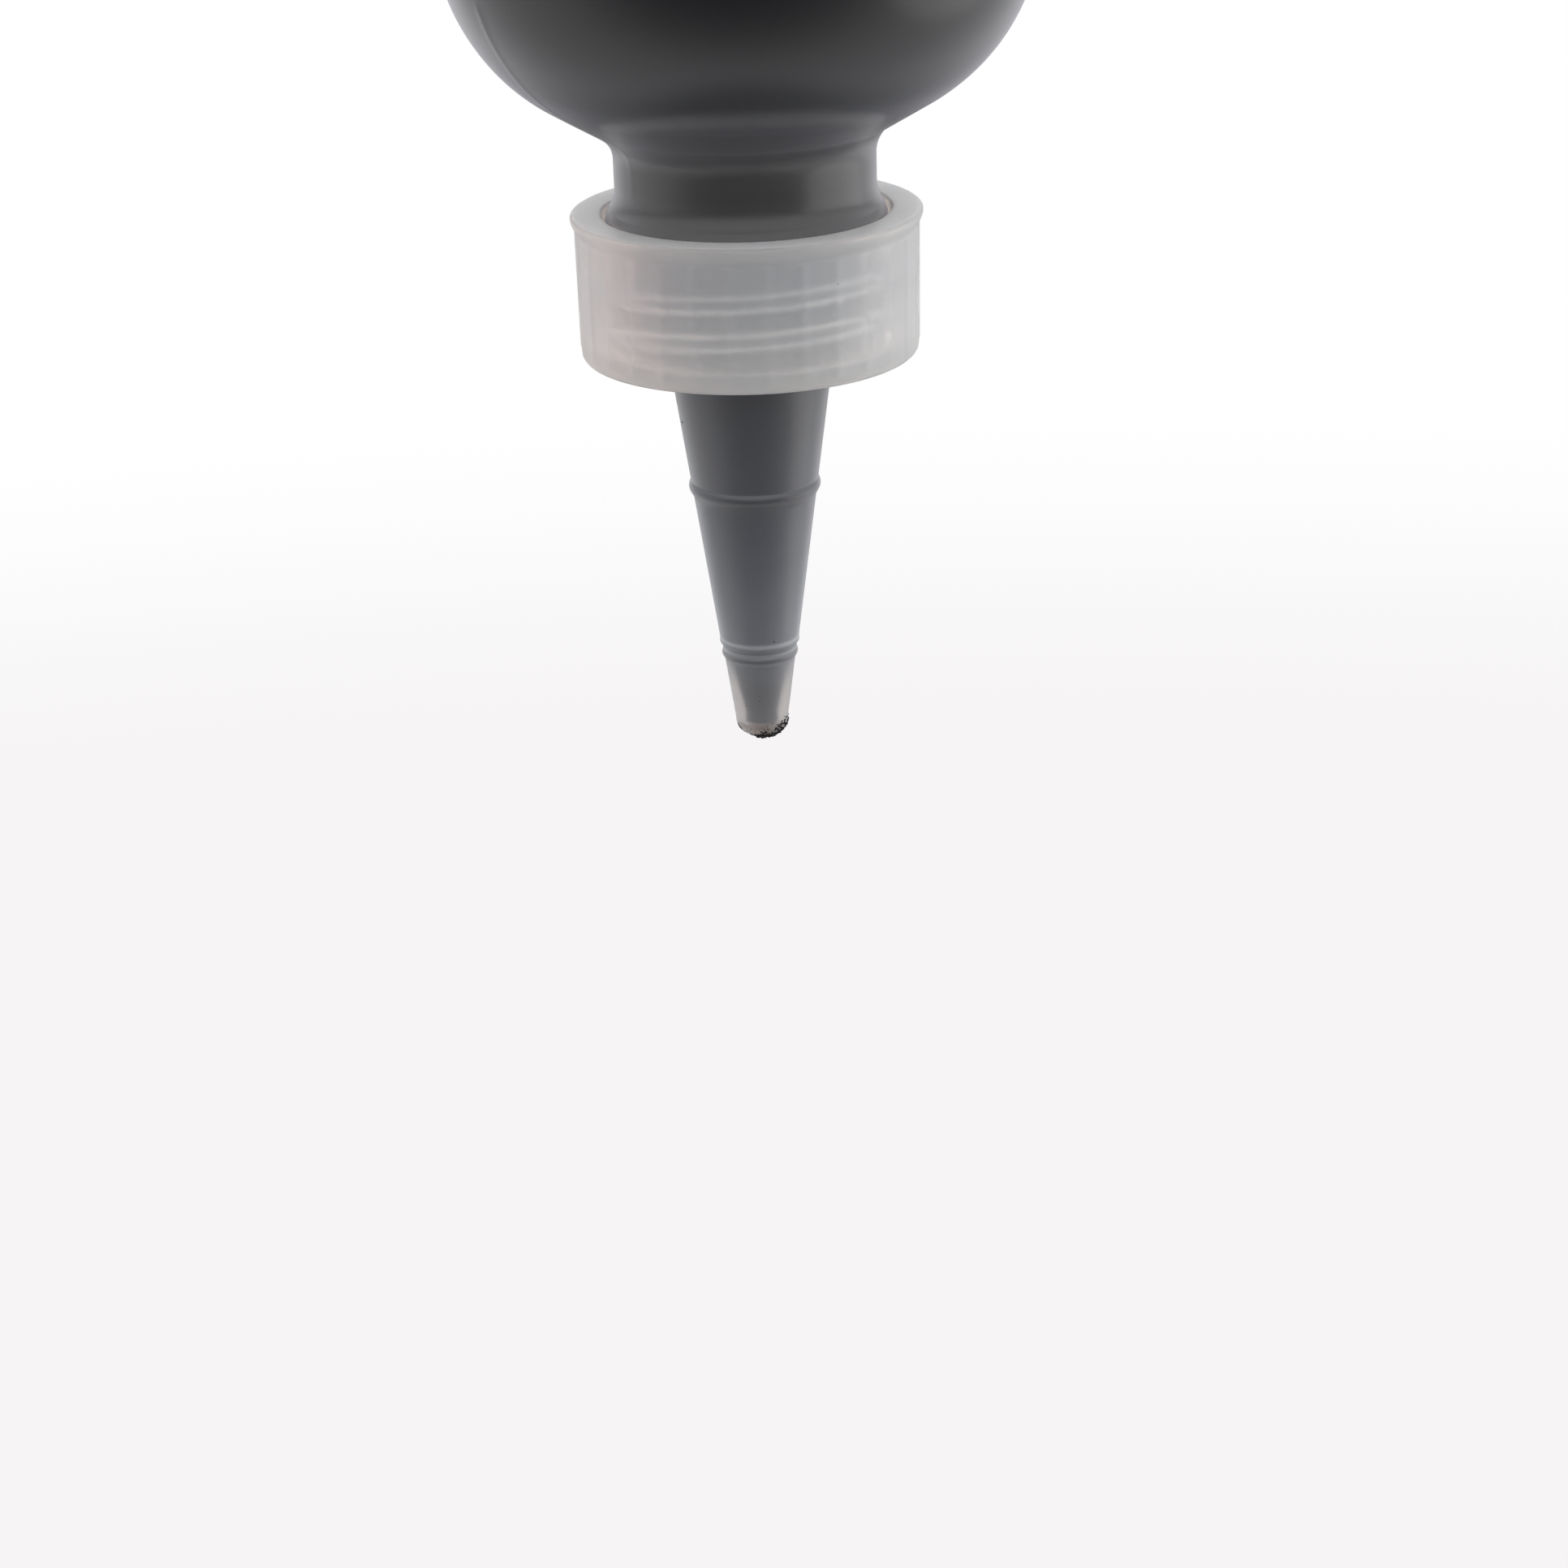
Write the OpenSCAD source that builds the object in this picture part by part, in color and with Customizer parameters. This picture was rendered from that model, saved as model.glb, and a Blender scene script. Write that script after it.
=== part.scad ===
// Squeeze bottle with a screw collar and a long conical nozzle, for dry lock lubricant powder.
// Millimetres. The bottle stands on the table at z = 0 with the nozzle pointing up along +Z.

/* [Bottle body] */
// Height of the bottle from the table to its sealing lip
bottle_h = 100.3; // [90:0.1:125]
// Outer diameter of the round body
body_d = 49.6; // [46:0.1:56]
// Wall thickness of the body and the shoulder
body_wall = 0.9; // [0.6:0.1:1.3]
// Radius of the round shoulder, in section
shoulder_r = 16.5; // [14:0.1:18.5]
// Angle through which the shoulder curves before it runs on straight to the neck
shoulder_sweep = 60; // [52:1:66]
// Radius of the rounded heel at the foot of the body
heel_r = 4; // [2.5:0.1:6]
// Thickness of the floor
floor_t = 1.2; // [0.8:0.1:2]
// Diameter of the pushed-up middle of the floor
pushup_d = 34; // [26:0.5:36]
// Height that the middle of the floor is pushed up
pushup_h = 1.6; // [1:0.1:3]

/* [Neck] */
// Height of the neck from the shoulder's slope to the lip
neck_h = 16.1; // [15.6:0.1:22]
// Wall thickness of the neck between its threads
neck_wall = 1.95; // [1.7:0.05:2.2]
// Radius of the fillet where the neck leaves the shoulder
neck_fillet_r = 3.1; // [1:0.1:3.4]
// Height that the transfer bead below the threads stands proud of the neck
bead_proud = 0.9; // [0.6:0.05:1]
// Height of the transfer bead's rounded edge
bead_h = 1.2; // [0.8:0.1:1.6]
// Length of the concave flare that runs from the neck into the bead
bead_flare = 2.2; // [1.2:0.1:3]
// Radius that rounds the lip's outer edge
lip_edge_r = 0.4; // [0.2:0.1:0.6]

/* [Screw thread] */
// Rise of the thread in one turn
pitch = 3.175; // [3:0.005:3.4]
// Diameter over the crest of the neck's thread
thread_d = 23.88; // [23.4:0.02:24]
// Height that the neck's thread stands proud of the neck
thread_depth = 0.94; // [0.8:0.02:1]
// Width of a thread ridge at its root
ridge_root_w = 1.5; // [1.2:0.1:1.6]
// Width of a thread ridge at its crest
ridge_crest_w = 0.8; // [0.5:0.1:0.9]
// Turns of thread on the neck
neck_turns = 1.4; // [1:0.1:1.5]
// Turns of thread in the collar
collar_turns = 1.9; // [1.5:0.1:2]
// Distance from the lip down to the middle of the first thread ridge
thread_from_lip = 1.3; // [1.2:0.1:1.6]
// Gap between the collar's ridge and the neck's ridge that it pulls on
flank_gap = 0.2; // [0.15:0.05:0.3]
// Radial gap between a thread's crest and the wall that it faces
crest_gap = 0.22; // [0.18:0.02:0.3]

/* [Collar] */
// Height of the collar from its mouth to its end face
collar_h = 12.3; // [12:0.1:13]
// Wall thickness of the collar between its ribs, next to its mouth
collar_wall = 2.29; // [1.9:0.01:3]
// Draft: how much the collar's radius shrinks towards its end face
collar_draft = 0.1; // [0.05:0.01:0.2]
// Height that the plain band round the collar's mouth stands proud of its wall
rim_proud = 0.4; // [0.3:0.05:0.45]
// Height of the plain band round the mouth
rim_h = 1; // [0.6:0.1:1.6]
// Number of ribs round the collar
rib_count = 30; // [24:1:36]
// Height that the ribs stand proud of the collar's wall
rib_proud = 0.2; // [0.1:0.05:0.3]
// Radius of a rib's rounded back
rib_r = 1.3; // [1.1:0.1:1.6]
// Radius that rounds the edge of the end face
collar_edge_r = 0.6; // [0.3:0.1:0.8]
// Thickness of the end plate
plate_t = 1.3; // [1.1:0.1:1.4]
// Width of the chamfer inside the mouth
mouth_chamfer = 0.55; // [0.3:0.05:0.8]

/* [Nozzle] */
// Length of the nozzle from the collar's end face to its tip
nozzle_len = 34.8; // [30:0.1:45]
// Diameter of the cone where it leaves the collar
cone_root_d = 14.2; // [13.6:0.1:15]
// Diameter that the cone would have at its very end, without the tip's rounding
cone_end_d = 4.4; // [4:0.1:5.5]
// Diameter of the orifice
orifice_d = 1.8; // [1.2:0.1:2]
// Length of the straight orifice
orifice_len = 2.5; // [1.5:0.1:4]
// Wall of the cone at its root
cone_wall = 1.1; // [0.9:0.1:1.4]
// Radius that rounds the tip's edge
tip_edge_r = 1.2; // [0.8:0.1:1.25]
// Height that the retaining bead above the collar's end face stands proud
root_bead_proud = 0.3; // [0.2:0.05:0.4]
// Radius of the retaining bead's round back
root_bead_r = 0.4; // [0.3:0.05:0.5]
// Distance from the collar's end face to the single stop bead
stop_bead_at = 11.8; // [9:0.1:14]
// Height that the stop bead stands proud
stop_bead_proud = 0.27; // [0.15:0.01:0.4]
// Radius of the stop bead's round back
stop_bead_r = 0.9; // [0.6:0.1:1.2]
// Distance from the collar's end face to the snap ring's first bead, where the cone steps down
snap_bead_at = 26.05; // [22:0.05:27]
// Height that the first bead stands proud of the cone
snap_bead_proud = 0.08; // [0.04:0.01:0.15]
// Radius of the first bead's round back
snap_bead_r = 0.35; // [0.25:0.05:0.4]
// Distance from the first bead to the second
snap_bead_step = 1.15; // [1:0.05:1.6]
// Height that the second bead stands proud of the tip's cone
snap_lip_proud = 0.17; // [0.1:0.01:0.25]
// Radius of the second bead's round back
snap_lip_r = 0.5; // [0.4:0.05:0.6]
// Step down in radius from the cone to the tip's cone
tip_step = 0.09; // [0.02:0.01:0.15]
// Thickness of the flange that the collar clamps on the lip
flange_t = 1.1; // [0.9:0.1:1.3]
// Length of the plug skirt below the flange
plug_len = 5.4; // [4:0.1:6.5]
// Wall of the plug skirt
plug_wall = 1; // [0.8:0.1:1.3]

/* [Powder] */
// Thickness of the powder crust on the tip
crust_t = 0.3; // [0.2:0.05:0.5]
// Diameter of the powder crust on the tip
crust_d = 3.4; // [3:0.1:3.8]
// Space left between the powder and the wall that holds it
powder_gap = 0.1; // [0.05:0.01:0.2]
// Space left between the powder in the bottle and the nozzle's plug
head_gap = 0.4; // [0.3:0.1:1]

/* [Fits] */
// Gap between faces that rest on each other when the collar is tight
seat_gap = 0.05; // [0.03:0.01:0.1]
// Radial gap between the plug and the neck's bore, and between the nozzle and the collar's hole
running_gap = 0.05; // [0.03:0.01:0.1]

/* [Hidden] */
$fn = 96;

overrun = 1;
ring_fn = 32;
ridge_step_angle = 10;
ridge_fade_angle = 40;
neck_thread_end_angle = 150;

body_r = body_d / 2;
thread_r = thread_d / 2;
neck_r = thread_r - thread_depth;
bore_r = neck_r - neck_wall;
bead_r = neck_r + bead_proud;

// Section of the shoulder: an arc that is tangent to the body, then its tangent up to the neck
shoulder_x = body_r - shoulder_r;
shoulder_z = bottle_h - neck_h - shoulder_r * sin(shoulder_sweep) -
    (shoulder_x + shoulder_r * cos(shoulder_sweep) - neck_r) / tan(shoulder_sweep);

// The collar and the nozzle are stacked on the lip
flange_z = bottle_h + seat_gap;
plate_z = flange_z + flange_t + seat_gap;
collar_top = plate_z + plate_t;
collar_mouth = collar_top - collar_h;
collar_bore_r = thread_r + crest_gap;
collar_wall_r = collar_bore_r + collar_wall;
ridge_crest_r = neck_r + crest_gap;
hole_r = cone_root_d / 2 + running_gap;
flange_r = neck_r - seat_gap;
plug_r = bore_r - running_gap;
nozzle_top = collar_top + nozzle_len;

// The collar's ridge runs below the neck's ridge. Their flanks slope alike, so the ridges are
// a mean width and one flank gap apart, less what the slope gives back in the crest gap
flank_slope = (ridge_root_w - ridge_crest_w) / thread_depth;
ridge_offset = ridge_root_w - flank_slope * (collar_bore_r - neck_r) / 2 + flank_gap;
neck_thread_top = bottle_h - thread_from_lip;
collar_thread_top = plate_z - ridge_root_w / 2 - seat_gap;

cone_root_r = cone_root_d / 2;
cone_end_r = cone_end_d / 2;
orifice_r = orifice_d / 2;
tip_edge_z = nozzle_top - tip_edge_r;

// Radius of the cone's outside at a distance from the collar's end face
function cone_r(at) = cone_root_r + (cone_end_r - cone_root_r) * at / nozzle_len;
tip_r = cone_r(nozzle_len - tip_edge_r) - tip_step;
tip_edge_x = tip_r - tip_edge_r;

// A right-handed ridge with a trapezium section that climbs one pitch a turn and ends at top_z,
// end_angle. It stands from root_r to crest_r, which may be inside or outside it, and fades at both ends
module helical_ridge(root_r, crest_r, turns, end_angle, top_z) {
    steps = round(turns * 360 / ridge_step_angle);
    out = sign(crest_r - root_r);
    sunk_r = root_r - out * crest_gap;
    function fade(i) =
        min(1, i * ridge_step_angle / ridge_fade_angle, (steps - i) * ridge_step_angle / ridge_fade_angle);
    points = [for (i = [0:steps])
        let (
            a = end_angle - (steps - i) * ridge_step_angle,
            z = top_z - (steps - i) * ridge_step_angle * pitch / 360,
            high_r = sunk_r + (crest_r - sunk_r) * (fade(i) + crest_gap / abs(crest_r - sunk_r)) /
                (1 + crest_gap / abs(crest_r - sunk_r)))
        for (p = [
            [sunk_r, -ridge_root_w / 2],
            [high_r, -ridge_crest_w / 2],
            [high_r, ridge_crest_w / 2],
            [sunk_r, ridge_root_w / 2]])
        [p[0] * cos(a), p[0] * sin(a), z + p[1]]];
    sides = [for (i = [0:steps - 1]) for (j = [0:3])
        let (k = 4 * i + j, l = 4 * i + (j + 1) % 4)
        for (f = [[k, l, l + 4], [k, l + 4, k + 4]]) out > 0 ? f : [f[2], f[1], f[0]]];
    last = 4 * steps;
    caps = [[3, 2, 1], [3, 1, 0], [last, last + 1, last + 2], [last, last + 2, last + 3]];
    ends = [for (f = caps) out > 0 ? f : [f[2], f[1], f[0]]];
    polyhedron(points, concat(sides, ends), convexity = 10);
}

// Half section of the bottle's solid, shrunk inwards by t, from its foot to where it meets top_r
module body_section(t, foot_z, top_r) {
    arc_r = shoulder_r - t;
    inner_heel_r = heel_r - min(t, heel_r / 2);
    slope_x = shoulder_x + arc_r * cos(shoulder_sweep);
    slope_z = shoulder_z + arc_r * sin(shoulder_sweep);
    top_z = slope_z + (slope_x - top_r) / tan(shoulder_sweep);
    translate([0, foot_z])
        square([body_r - t - inner_heel_r, shoulder_z - foot_z]);
    translate([0, foot_z + inner_heel_r])
        square([body_r - t, shoulder_z - foot_z - inner_heel_r]);
    translate([body_r - t - inner_heel_r, foot_z + inner_heel_r])
        circle(inner_heel_r);
    intersection() {
        translate([shoulder_x, shoulder_z])
            circle(arc_r);
        translate([0, shoulder_z])
            square([body_r, shoulder_r]);
    }
    polygon([
        [0, shoulder_z],
        [shoulder_x, shoulder_z],
        [slope_x, slope_z],
        [top_r, top_z],
        [0, top_z]]);
}

// The concave fillet from the shoulder's slope to the neck
module neck_fillet_section() {
    slope_x = shoulder_x + shoulder_r * cos(shoulder_sweep);
    slope_z = shoulder_z + shoulder_r * sin(shoulder_sweep);
    x = neck_r + neck_fillet_r;
    z = slope_z + (neck_fillet_r - (x - slope_x) * cos(shoulder_sweep)) / sin(shoulder_sweep);
    touch_x = x - neck_fillet_r * cos(shoulder_sweep);
    touch_z = z - neck_fillet_r * sin(shoulder_sweep);
    difference() {
        polygon([[bore_r, z], [x, z], [touch_x, touch_z], [bore_r, touch_z]]);
        translate([x, z])
            circle(neck_fillet_r);
    }
}

// The transfer bead: a rounded ring with a concave flare below it
module bead_section() {
    flare_r = (pow(bead_proud, 2) + pow(bead_flare, 2)) / (2 * bead_proud);
    translate([bore_r, collar_mouth])
        square([bead_r - bore_r - bead_h / 2, bead_h]);
    translate([bead_r - bead_h / 2, collar_mouth + bead_h / 2])
        circle(bead_h / 2);
    difference() {
        translate([bore_r, collar_mouth - bead_flare])
            square([bead_r - bore_r - bead_h / 4, bead_flare + bead_h / 4]);
        translate([neck_r + flare_r, collar_mouth - bead_flare])
            circle(flare_r);
    }
}

module neck_section() {
    translate([0, shoulder_z])
        square([neck_r, bottle_h - shoulder_z - lip_edge_r]);
    translate([0, shoulder_z])
        square([neck_r - lip_edge_r, bottle_h - shoulder_z]);
    translate([neck_r - lip_edge_r, bottle_h - lip_edge_r])
        circle(lip_edge_r);
}

// The pushed-up dome under the floor: radius of the sphere that cuts it
dome_r = (pow(pushup_d / 2, 2) + pow(pushup_h, 2)) / (2 * pushup_h);

// Hollow of the bottle, shrunk by a further t
module hollow_section(t) {
    difference() {
        body_section(body_wall + t, floor_t + t, bore_r - t);
        translate([0, pushup_h - dome_r])
            circle(dome_r + floor_t + t);
    }
}

module bottle() {
    color("#55565b")
        union() {
            difference() {
                rotate_extrude()
                    difference() {
                        union() {
                            body_section(0, 0, neck_r);
                            neck_fillet_section();
                            bead_section();
                            neck_section();
                        }
                        translate([0, pushup_h - dome_r])
                            circle(dome_r);
                    }
                rotate_extrude()
                    hollow_section(0);
                translate([0, 0, shoulder_z])
                    cylinder(h = bottle_h - shoulder_z + overrun, r = bore_r);
            }
            helical_ridge(neck_r, thread_r, neck_turns, neck_thread_end_angle, neck_thread_top);
        }
}

module powder_charge() {
    color("#1c1c1f")
        rotate_extrude() {
            hollow_section(powder_gap);
            translate([0, shoulder_z])
                square([bore_r - powder_gap, flange_z - plug_len - head_gap - shoulder_z]);
        }
}

// Rib backs standing out of the collar's plain wall. They lean in with its draft
module ribs() {
    lean = atan(collar_draft / collar_h);
    for (i = [0:rib_count - 1])
        rotate(i * 360 / rib_count)
            translate([collar_wall_r + rib_proud - rib_r, 0, collar_mouth])
                rotate([0, -lean, 0])
                    cylinder(h = collar_h - collar_edge_r, r = rib_r);
}

module collar_wall_section() {
    end_r = collar_wall_r - collar_draft;
    polygon([
        [0, collar_mouth],
        [collar_wall_r, collar_mouth],
        [end_r, collar_top - collar_edge_r],
        [end_r - collar_edge_r, collar_top],
        [0, collar_top]]);
    translate([end_r - collar_edge_r, collar_top - collar_edge_r])
        circle(collar_edge_r);
    translate([0, collar_mouth])
        square([collar_wall_r + rim_proud, rim_h - rim_proud]);
    translate([collar_wall_r, collar_mouth + rim_h - rim_proud])
        circle(rim_proud);
}

module collar() {
    turned = neck_thread_end_angle +
        (collar_thread_top - neck_thread_top + ridge_offset) * 360 / pitch;
    color("#b4b1af")
        union() {
            difference() {
                union() {
                    rotate_extrude()
                        collar_wall_section();
                    ribs();
                }
                translate([0, 0, collar_mouth - overrun])
                    cylinder(h = plate_z - collar_mouth + overrun, r = collar_bore_r);
                translate([0, 0, collar_mouth - overrun])
                    cylinder(
                        h = mouth_chamfer + overrun,
                        r1 = collar_bore_r + mouth_chamfer + overrun,
                        r2 = collar_bore_r);
                translate([0, 0, plate_z - overrun])
                    cylinder(h = plate_t + 2 * overrun, r = hole_r);
            }
            helical_ridge(collar_bore_r, ridge_crest_r, collar_turns, turned, collar_thread_top);
        }
}

// Half section of a round-backed bead, at a distance from the collar's end face. The first of them
// lies on the end face, so that the collar turns freely round the nozzle but lifts it off with it
module cone_bead(at, crest_r, back_r) {
    translate([crest_r - back_r, collar_top + at])
        circle(back_r, $fn = ring_fn);
}

// Half section of the nozzle's outside
module nozzle_outer_section() {
    lip_at = snap_bead_at + snap_bead_step;
    translate([0, flange_z])
        square([flange_r, flange_t]);
    translate([0, flange_z - plug_len])
        square([plug_r, plug_len + seat_gap]);
    translate([0, flange_z])
        square([cone_root_r, collar_top - flange_z]);
    polygon([
        [0, collar_top],
        [cone_root_r, collar_top],
        [cone_r(snap_bead_at), collar_top + snap_bead_at],
        [cone_r(snap_bead_at) - tip_step, collar_top + snap_bead_at],
        [tip_r, tip_edge_z],
        [tip_edge_x, nozzle_top],
        [0, nozzle_top]]);
    intersection() {
        translate([tip_edge_x, tip_edge_z])
            circle(tip_edge_r);
        translate([0, tip_edge_z - tip_edge_r])
            square([tip_r, 2 * tip_edge_r]);
    }
    cone_bead(seat_gap + root_bead_r, cone_root_r + root_bead_proud, root_bead_r);
    cone_bead(stop_bead_at, cone_r(stop_bead_at) + stop_bead_proud, stop_bead_r);
    cone_bead(snap_bead_at, cone_r(snap_bead_at) + snap_bead_proud, snap_bead_r);
    cone_bead(lip_at, cone_r(lip_at) - tip_step + snap_lip_proud, snap_lip_r);
}

// Half section of the nozzle's bore, shrunk by t
module nozzle_bore_section(t) {
    plug_bore_r = plug_r - plug_wall - t;
    root_bore_r = cone_root_r - cone_wall - t;
    throat_z = nozzle_top - orifice_len;
    polygon([
        [0, flange_z - plug_len],
        [plug_bore_r, flange_z - plug_len],
        [plug_bore_r, flange_z - t],
        [root_bore_r, plate_z - t],
        [orifice_r - t, throat_z],
        [orifice_r - t, nozzle_top],
        [0, nozzle_top]]);
}

module nozzle() {
    color("#5c5d62")
        difference() {
            rotate_extrude()
                difference() {
                    nozzle_outer_section();
                    nozzle_bore_section(0);
                }
            translate([0, 0, nozzle_top - orifice_len])
                cylinder(h = orifice_len + overrun, r = orifice_r);
            translate([0, 0, flange_z - plug_len - overrun])
                cylinder(h = overrun, r = plug_r - plug_wall);
        }
}

module nozzle_powder() {
    color("#1c1c1f")
        rotate_extrude()
            nozzle_bore_section(powder_gap);
}

// The crust follows the tip's rounded edge and closes over the orifice
module tip_powder() {
    crust_in = powder_gap / 2;
    color("#151517")
        rotate_extrude()
            intersection() {
                difference() {
                    union() {
                        translate([tip_edge_x, tip_edge_z])
                            circle(tip_edge_r + crust_in + crust_t);
                        translate([0, nozzle_top + crust_in])
                            square([tip_edge_x, crust_t]);
                    }
                    translate([tip_edge_x, tip_edge_z])
                        circle(tip_edge_r + crust_in);
                    translate([0, tip_edge_z])
                        square([tip_edge_x, tip_edge_r + crust_in]);
                }
                translate([0, tip_edge_z])
                    square([crust_d / 2, tip_edge_r + crust_in + crust_t]);
            }
}

bottle();
powder_charge();
nozzle();
nozzle_powder();
tip_powder();
collar();
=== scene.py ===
"""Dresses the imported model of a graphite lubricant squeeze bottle: smooth moulded pieces, their
materials and a stage."""

import random
from math import acos, atan2, cos, degrees, hypot, pi, radians, sin, sqrt, tan

import bpy
import numpy as np
from mathutils import Matrix, Vector, noise


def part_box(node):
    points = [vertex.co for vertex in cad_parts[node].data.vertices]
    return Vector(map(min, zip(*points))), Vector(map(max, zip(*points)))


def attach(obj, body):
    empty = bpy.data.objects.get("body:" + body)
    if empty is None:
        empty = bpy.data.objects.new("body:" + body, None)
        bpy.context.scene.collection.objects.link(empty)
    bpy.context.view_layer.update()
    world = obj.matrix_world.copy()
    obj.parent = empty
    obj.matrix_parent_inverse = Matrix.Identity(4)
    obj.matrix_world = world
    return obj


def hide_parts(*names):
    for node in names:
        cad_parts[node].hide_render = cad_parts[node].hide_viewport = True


bl_info = {
    "name": "Graphite lubricant bottle",
    "version": (1, 0, 0),
    "blender": (4, 5, 0),
    "location": "View3D > Sidebar > Lubricant",
    "description": "Builds the moulded pieces, the powder and the stage round the packed model",
    "category": "Object",
}

MM = 0.001
THREAD_BEHIND = "thread_behind"
WARM_SIDE = "warm_side"
# Parts of a profile: plain wall, a wall with a ridge or ribs outside, and the inside.
PLAIN, RIDGED, INNER = 0, 1, 2
# Material slots of a piece, after its outside: the bore, and the face of the collar's mouth.
BORE_SLOT, MOUTH_SLOT = 1, 2
# From the collar's end face down to the place where the nozzle's bore widens to its plug.
BORE_FOOT = 1.3 * MM
# Between the bottle's lip and the flange that seals it.
LIP_GAP = 0.05 * MM
# Parting line angles on the bottle: the two halves of the mould meet on both sides.
BOTH_SIDES = (0, pi)

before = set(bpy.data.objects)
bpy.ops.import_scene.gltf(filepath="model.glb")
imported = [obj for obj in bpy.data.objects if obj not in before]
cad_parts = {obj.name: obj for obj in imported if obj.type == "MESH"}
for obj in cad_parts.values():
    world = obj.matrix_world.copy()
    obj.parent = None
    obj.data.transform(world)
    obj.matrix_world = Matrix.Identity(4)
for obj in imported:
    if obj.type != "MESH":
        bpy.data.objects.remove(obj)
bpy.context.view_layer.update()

BOTTLE_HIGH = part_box("bottle")[1]
COLLAR_LOW, COLLAR_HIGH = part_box("collar")
NOZZLE_LOW, NOZZLE_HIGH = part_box("nozzle")
CRUST_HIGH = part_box("tip_powder")[1]


def length(name, description, default):
    """A size that a user may change, in metres."""
    return bpy.props.FloatProperty(
        name=name, description=description, default=default, min=0, unit="LENGTH", precision=5)


def angle(name, description, default):
    """An angle that a user may change, given in degrees."""
    return bpy.props.FloatProperty(
        name=name, description=description, default=radians(default), subtype="ANGLE")


def colour(name, description, default):
    """A colour that a user may change, as sRGB hex."""
    return bpy.props.StringProperty(name=name, description=description, default=default)


class BottleSizes(bpy.types.PropertyGroup):
    """Sizes of the blow-moulded bottle"""
    body_wall: length("Body wall", "Wall of the body and the shoulder", 0.9 * MM)
    shoulder_r: length("Shoulder radius", "Radius of the round shoulder", 16.5 * MM)
    shoulder_sweep: angle("Shoulder sweep", "Angle that the shoulder curves through", 60)
    heel_r: length("Heel radius", "Radius of the heel", 4 * MM)
    floor_t: length("Floor", "Thickness of the floor", 1.2 * MM)
    pushup_r: length("Push-up radius", "Radius of the pushed-up middle of the floor", 17 * MM)
    pushup_h: length("Push-up height", "Height of the pushed-up middle", 1.6 * MM)
    pushup_edge_r: length("Push-up edge", "Radius that rounds the push-up's edge", 0.8 * MM)
    neck_h: length("Neck height", "Height from the shoulder's slope to the lip", 16.1 * MM)
    neck_r: length("Neck radius", "Outer radius of the neck", 11 * MM)
    neck_wall: length("Neck wall", "Wall of the neck", 1.95 * MM)
    neck_fillet_r: length("Neck fillet", "Fillet from the shoulder to the neck", 3.1 * MM)
    bead_proud: length("Bead", "Height that the transfer bead stands proud", 0.9 * MM)
    bead_h: length("Bead height", "Height of the bead's rounded edge", 1.2 * MM)
    bead_flare: length("Bead flare", "Length of the flare from the neck to the bead", 2.2 * MM)
    lip_edge_r: length("Lip edge", "Radius that rounds the lip", 0.4 * MM)
    corner_lean: length("Corner lean", "How much fuller the seam side's corner is", 0.38 * MM)
    seam_proud: length("Seam", "Height of the parting line's ridge", 0.05 * MM)
    seam_half_w: length("Seam width", "Half width of the parting line's ridge", 0.45 * MM)
    seam_at: angle("Seam angle", "Where the parting line runs, from +X", -32)
    waviness: length("Waviness", "Depth of the soft waves that blow moulding leaves", 0.06 * MM)


class ThreadSizes(bpy.types.PropertyGroup):
    """Sizes of the screw thread"""
    pitch: length("Pitch", "Rise of the thread in one turn", 3.175 * MM)
    depth: length("Depth", "Height of the thread's ridge", 0.94 * MM)
    root_w: length("Root width", "Width of the ridge at its root", 1.5 * MM)
    crest_w: length("Crest width", "Width of the ridge at its crest", 0.8 * MM)
    from_lip: length("From the lip", "From the lip to the middle of the first ridge", 1.3 * MM)
    crest_gap: length("Crest gap", "Gap between a crest and the wall that it faces", 0.22 * MM)
    flank_gap: length("Flank gap", "Gap between the two ridges' flanks", 0.2 * MM)
    neck_turns: bpy.props.FloatProperty(
        name="Neck turns", description="Turns of thread on the neck", default=1.4, min=0.5)
    collar_turns: bpy.props.FloatProperty(
        name="Collar turns", description="Turns of thread in the collar", default=1.9, min=0.5)
    end_at: angle("End angle", "Where the neck's thread ends at the top", 150)
    fade: angle("Fade", "Angle over which a ridge fades out at its ends", 40)


class CollarSizes(bpy.types.PropertyGroup):
    """Sizes of the screw collar"""
    wall: length("Wall", "Wall between the ribs, next to the mouth", 2.29 * MM)
    draft: length("Draft", "How much the radius shrinks towards the end face", 0.1 * MM)
    rim_proud: length("Rim", "Height that the rim band stands proud", 0.4 * MM)
    rim_h: length("Rim height", "Height of the rim band", 1 * MM)
    rib_count: bpy.props.IntProperty(
        name="Ribs", description="Number of ribs", default=30, min=12, max=60)
    rib_proud: length("Rib height", "Height that the ribs stand proud", 0.1 * MM)
    rib_half_w: length("Rib width", "Half width of a rib's foot", 0.72 * MM)
    edge_r: length("Edge radius", "Radius that rounds the end face's edge", 0.6 * MM)
    plate_t: length("Plate", "Thickness of the end plate", 1.3 * MM)
    mouth_chamfer: length("Mouth chamfer", "Width of the rounded edge in the mouth", 0.3 * MM)
    hole_r: length("Hole radius", "Radius of the hole that the nozzle stands in", 7.15 * MM)
    seat_gap: length("Seat gap", "Gap between faces that rest on each other", 0.05 * MM)


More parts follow.
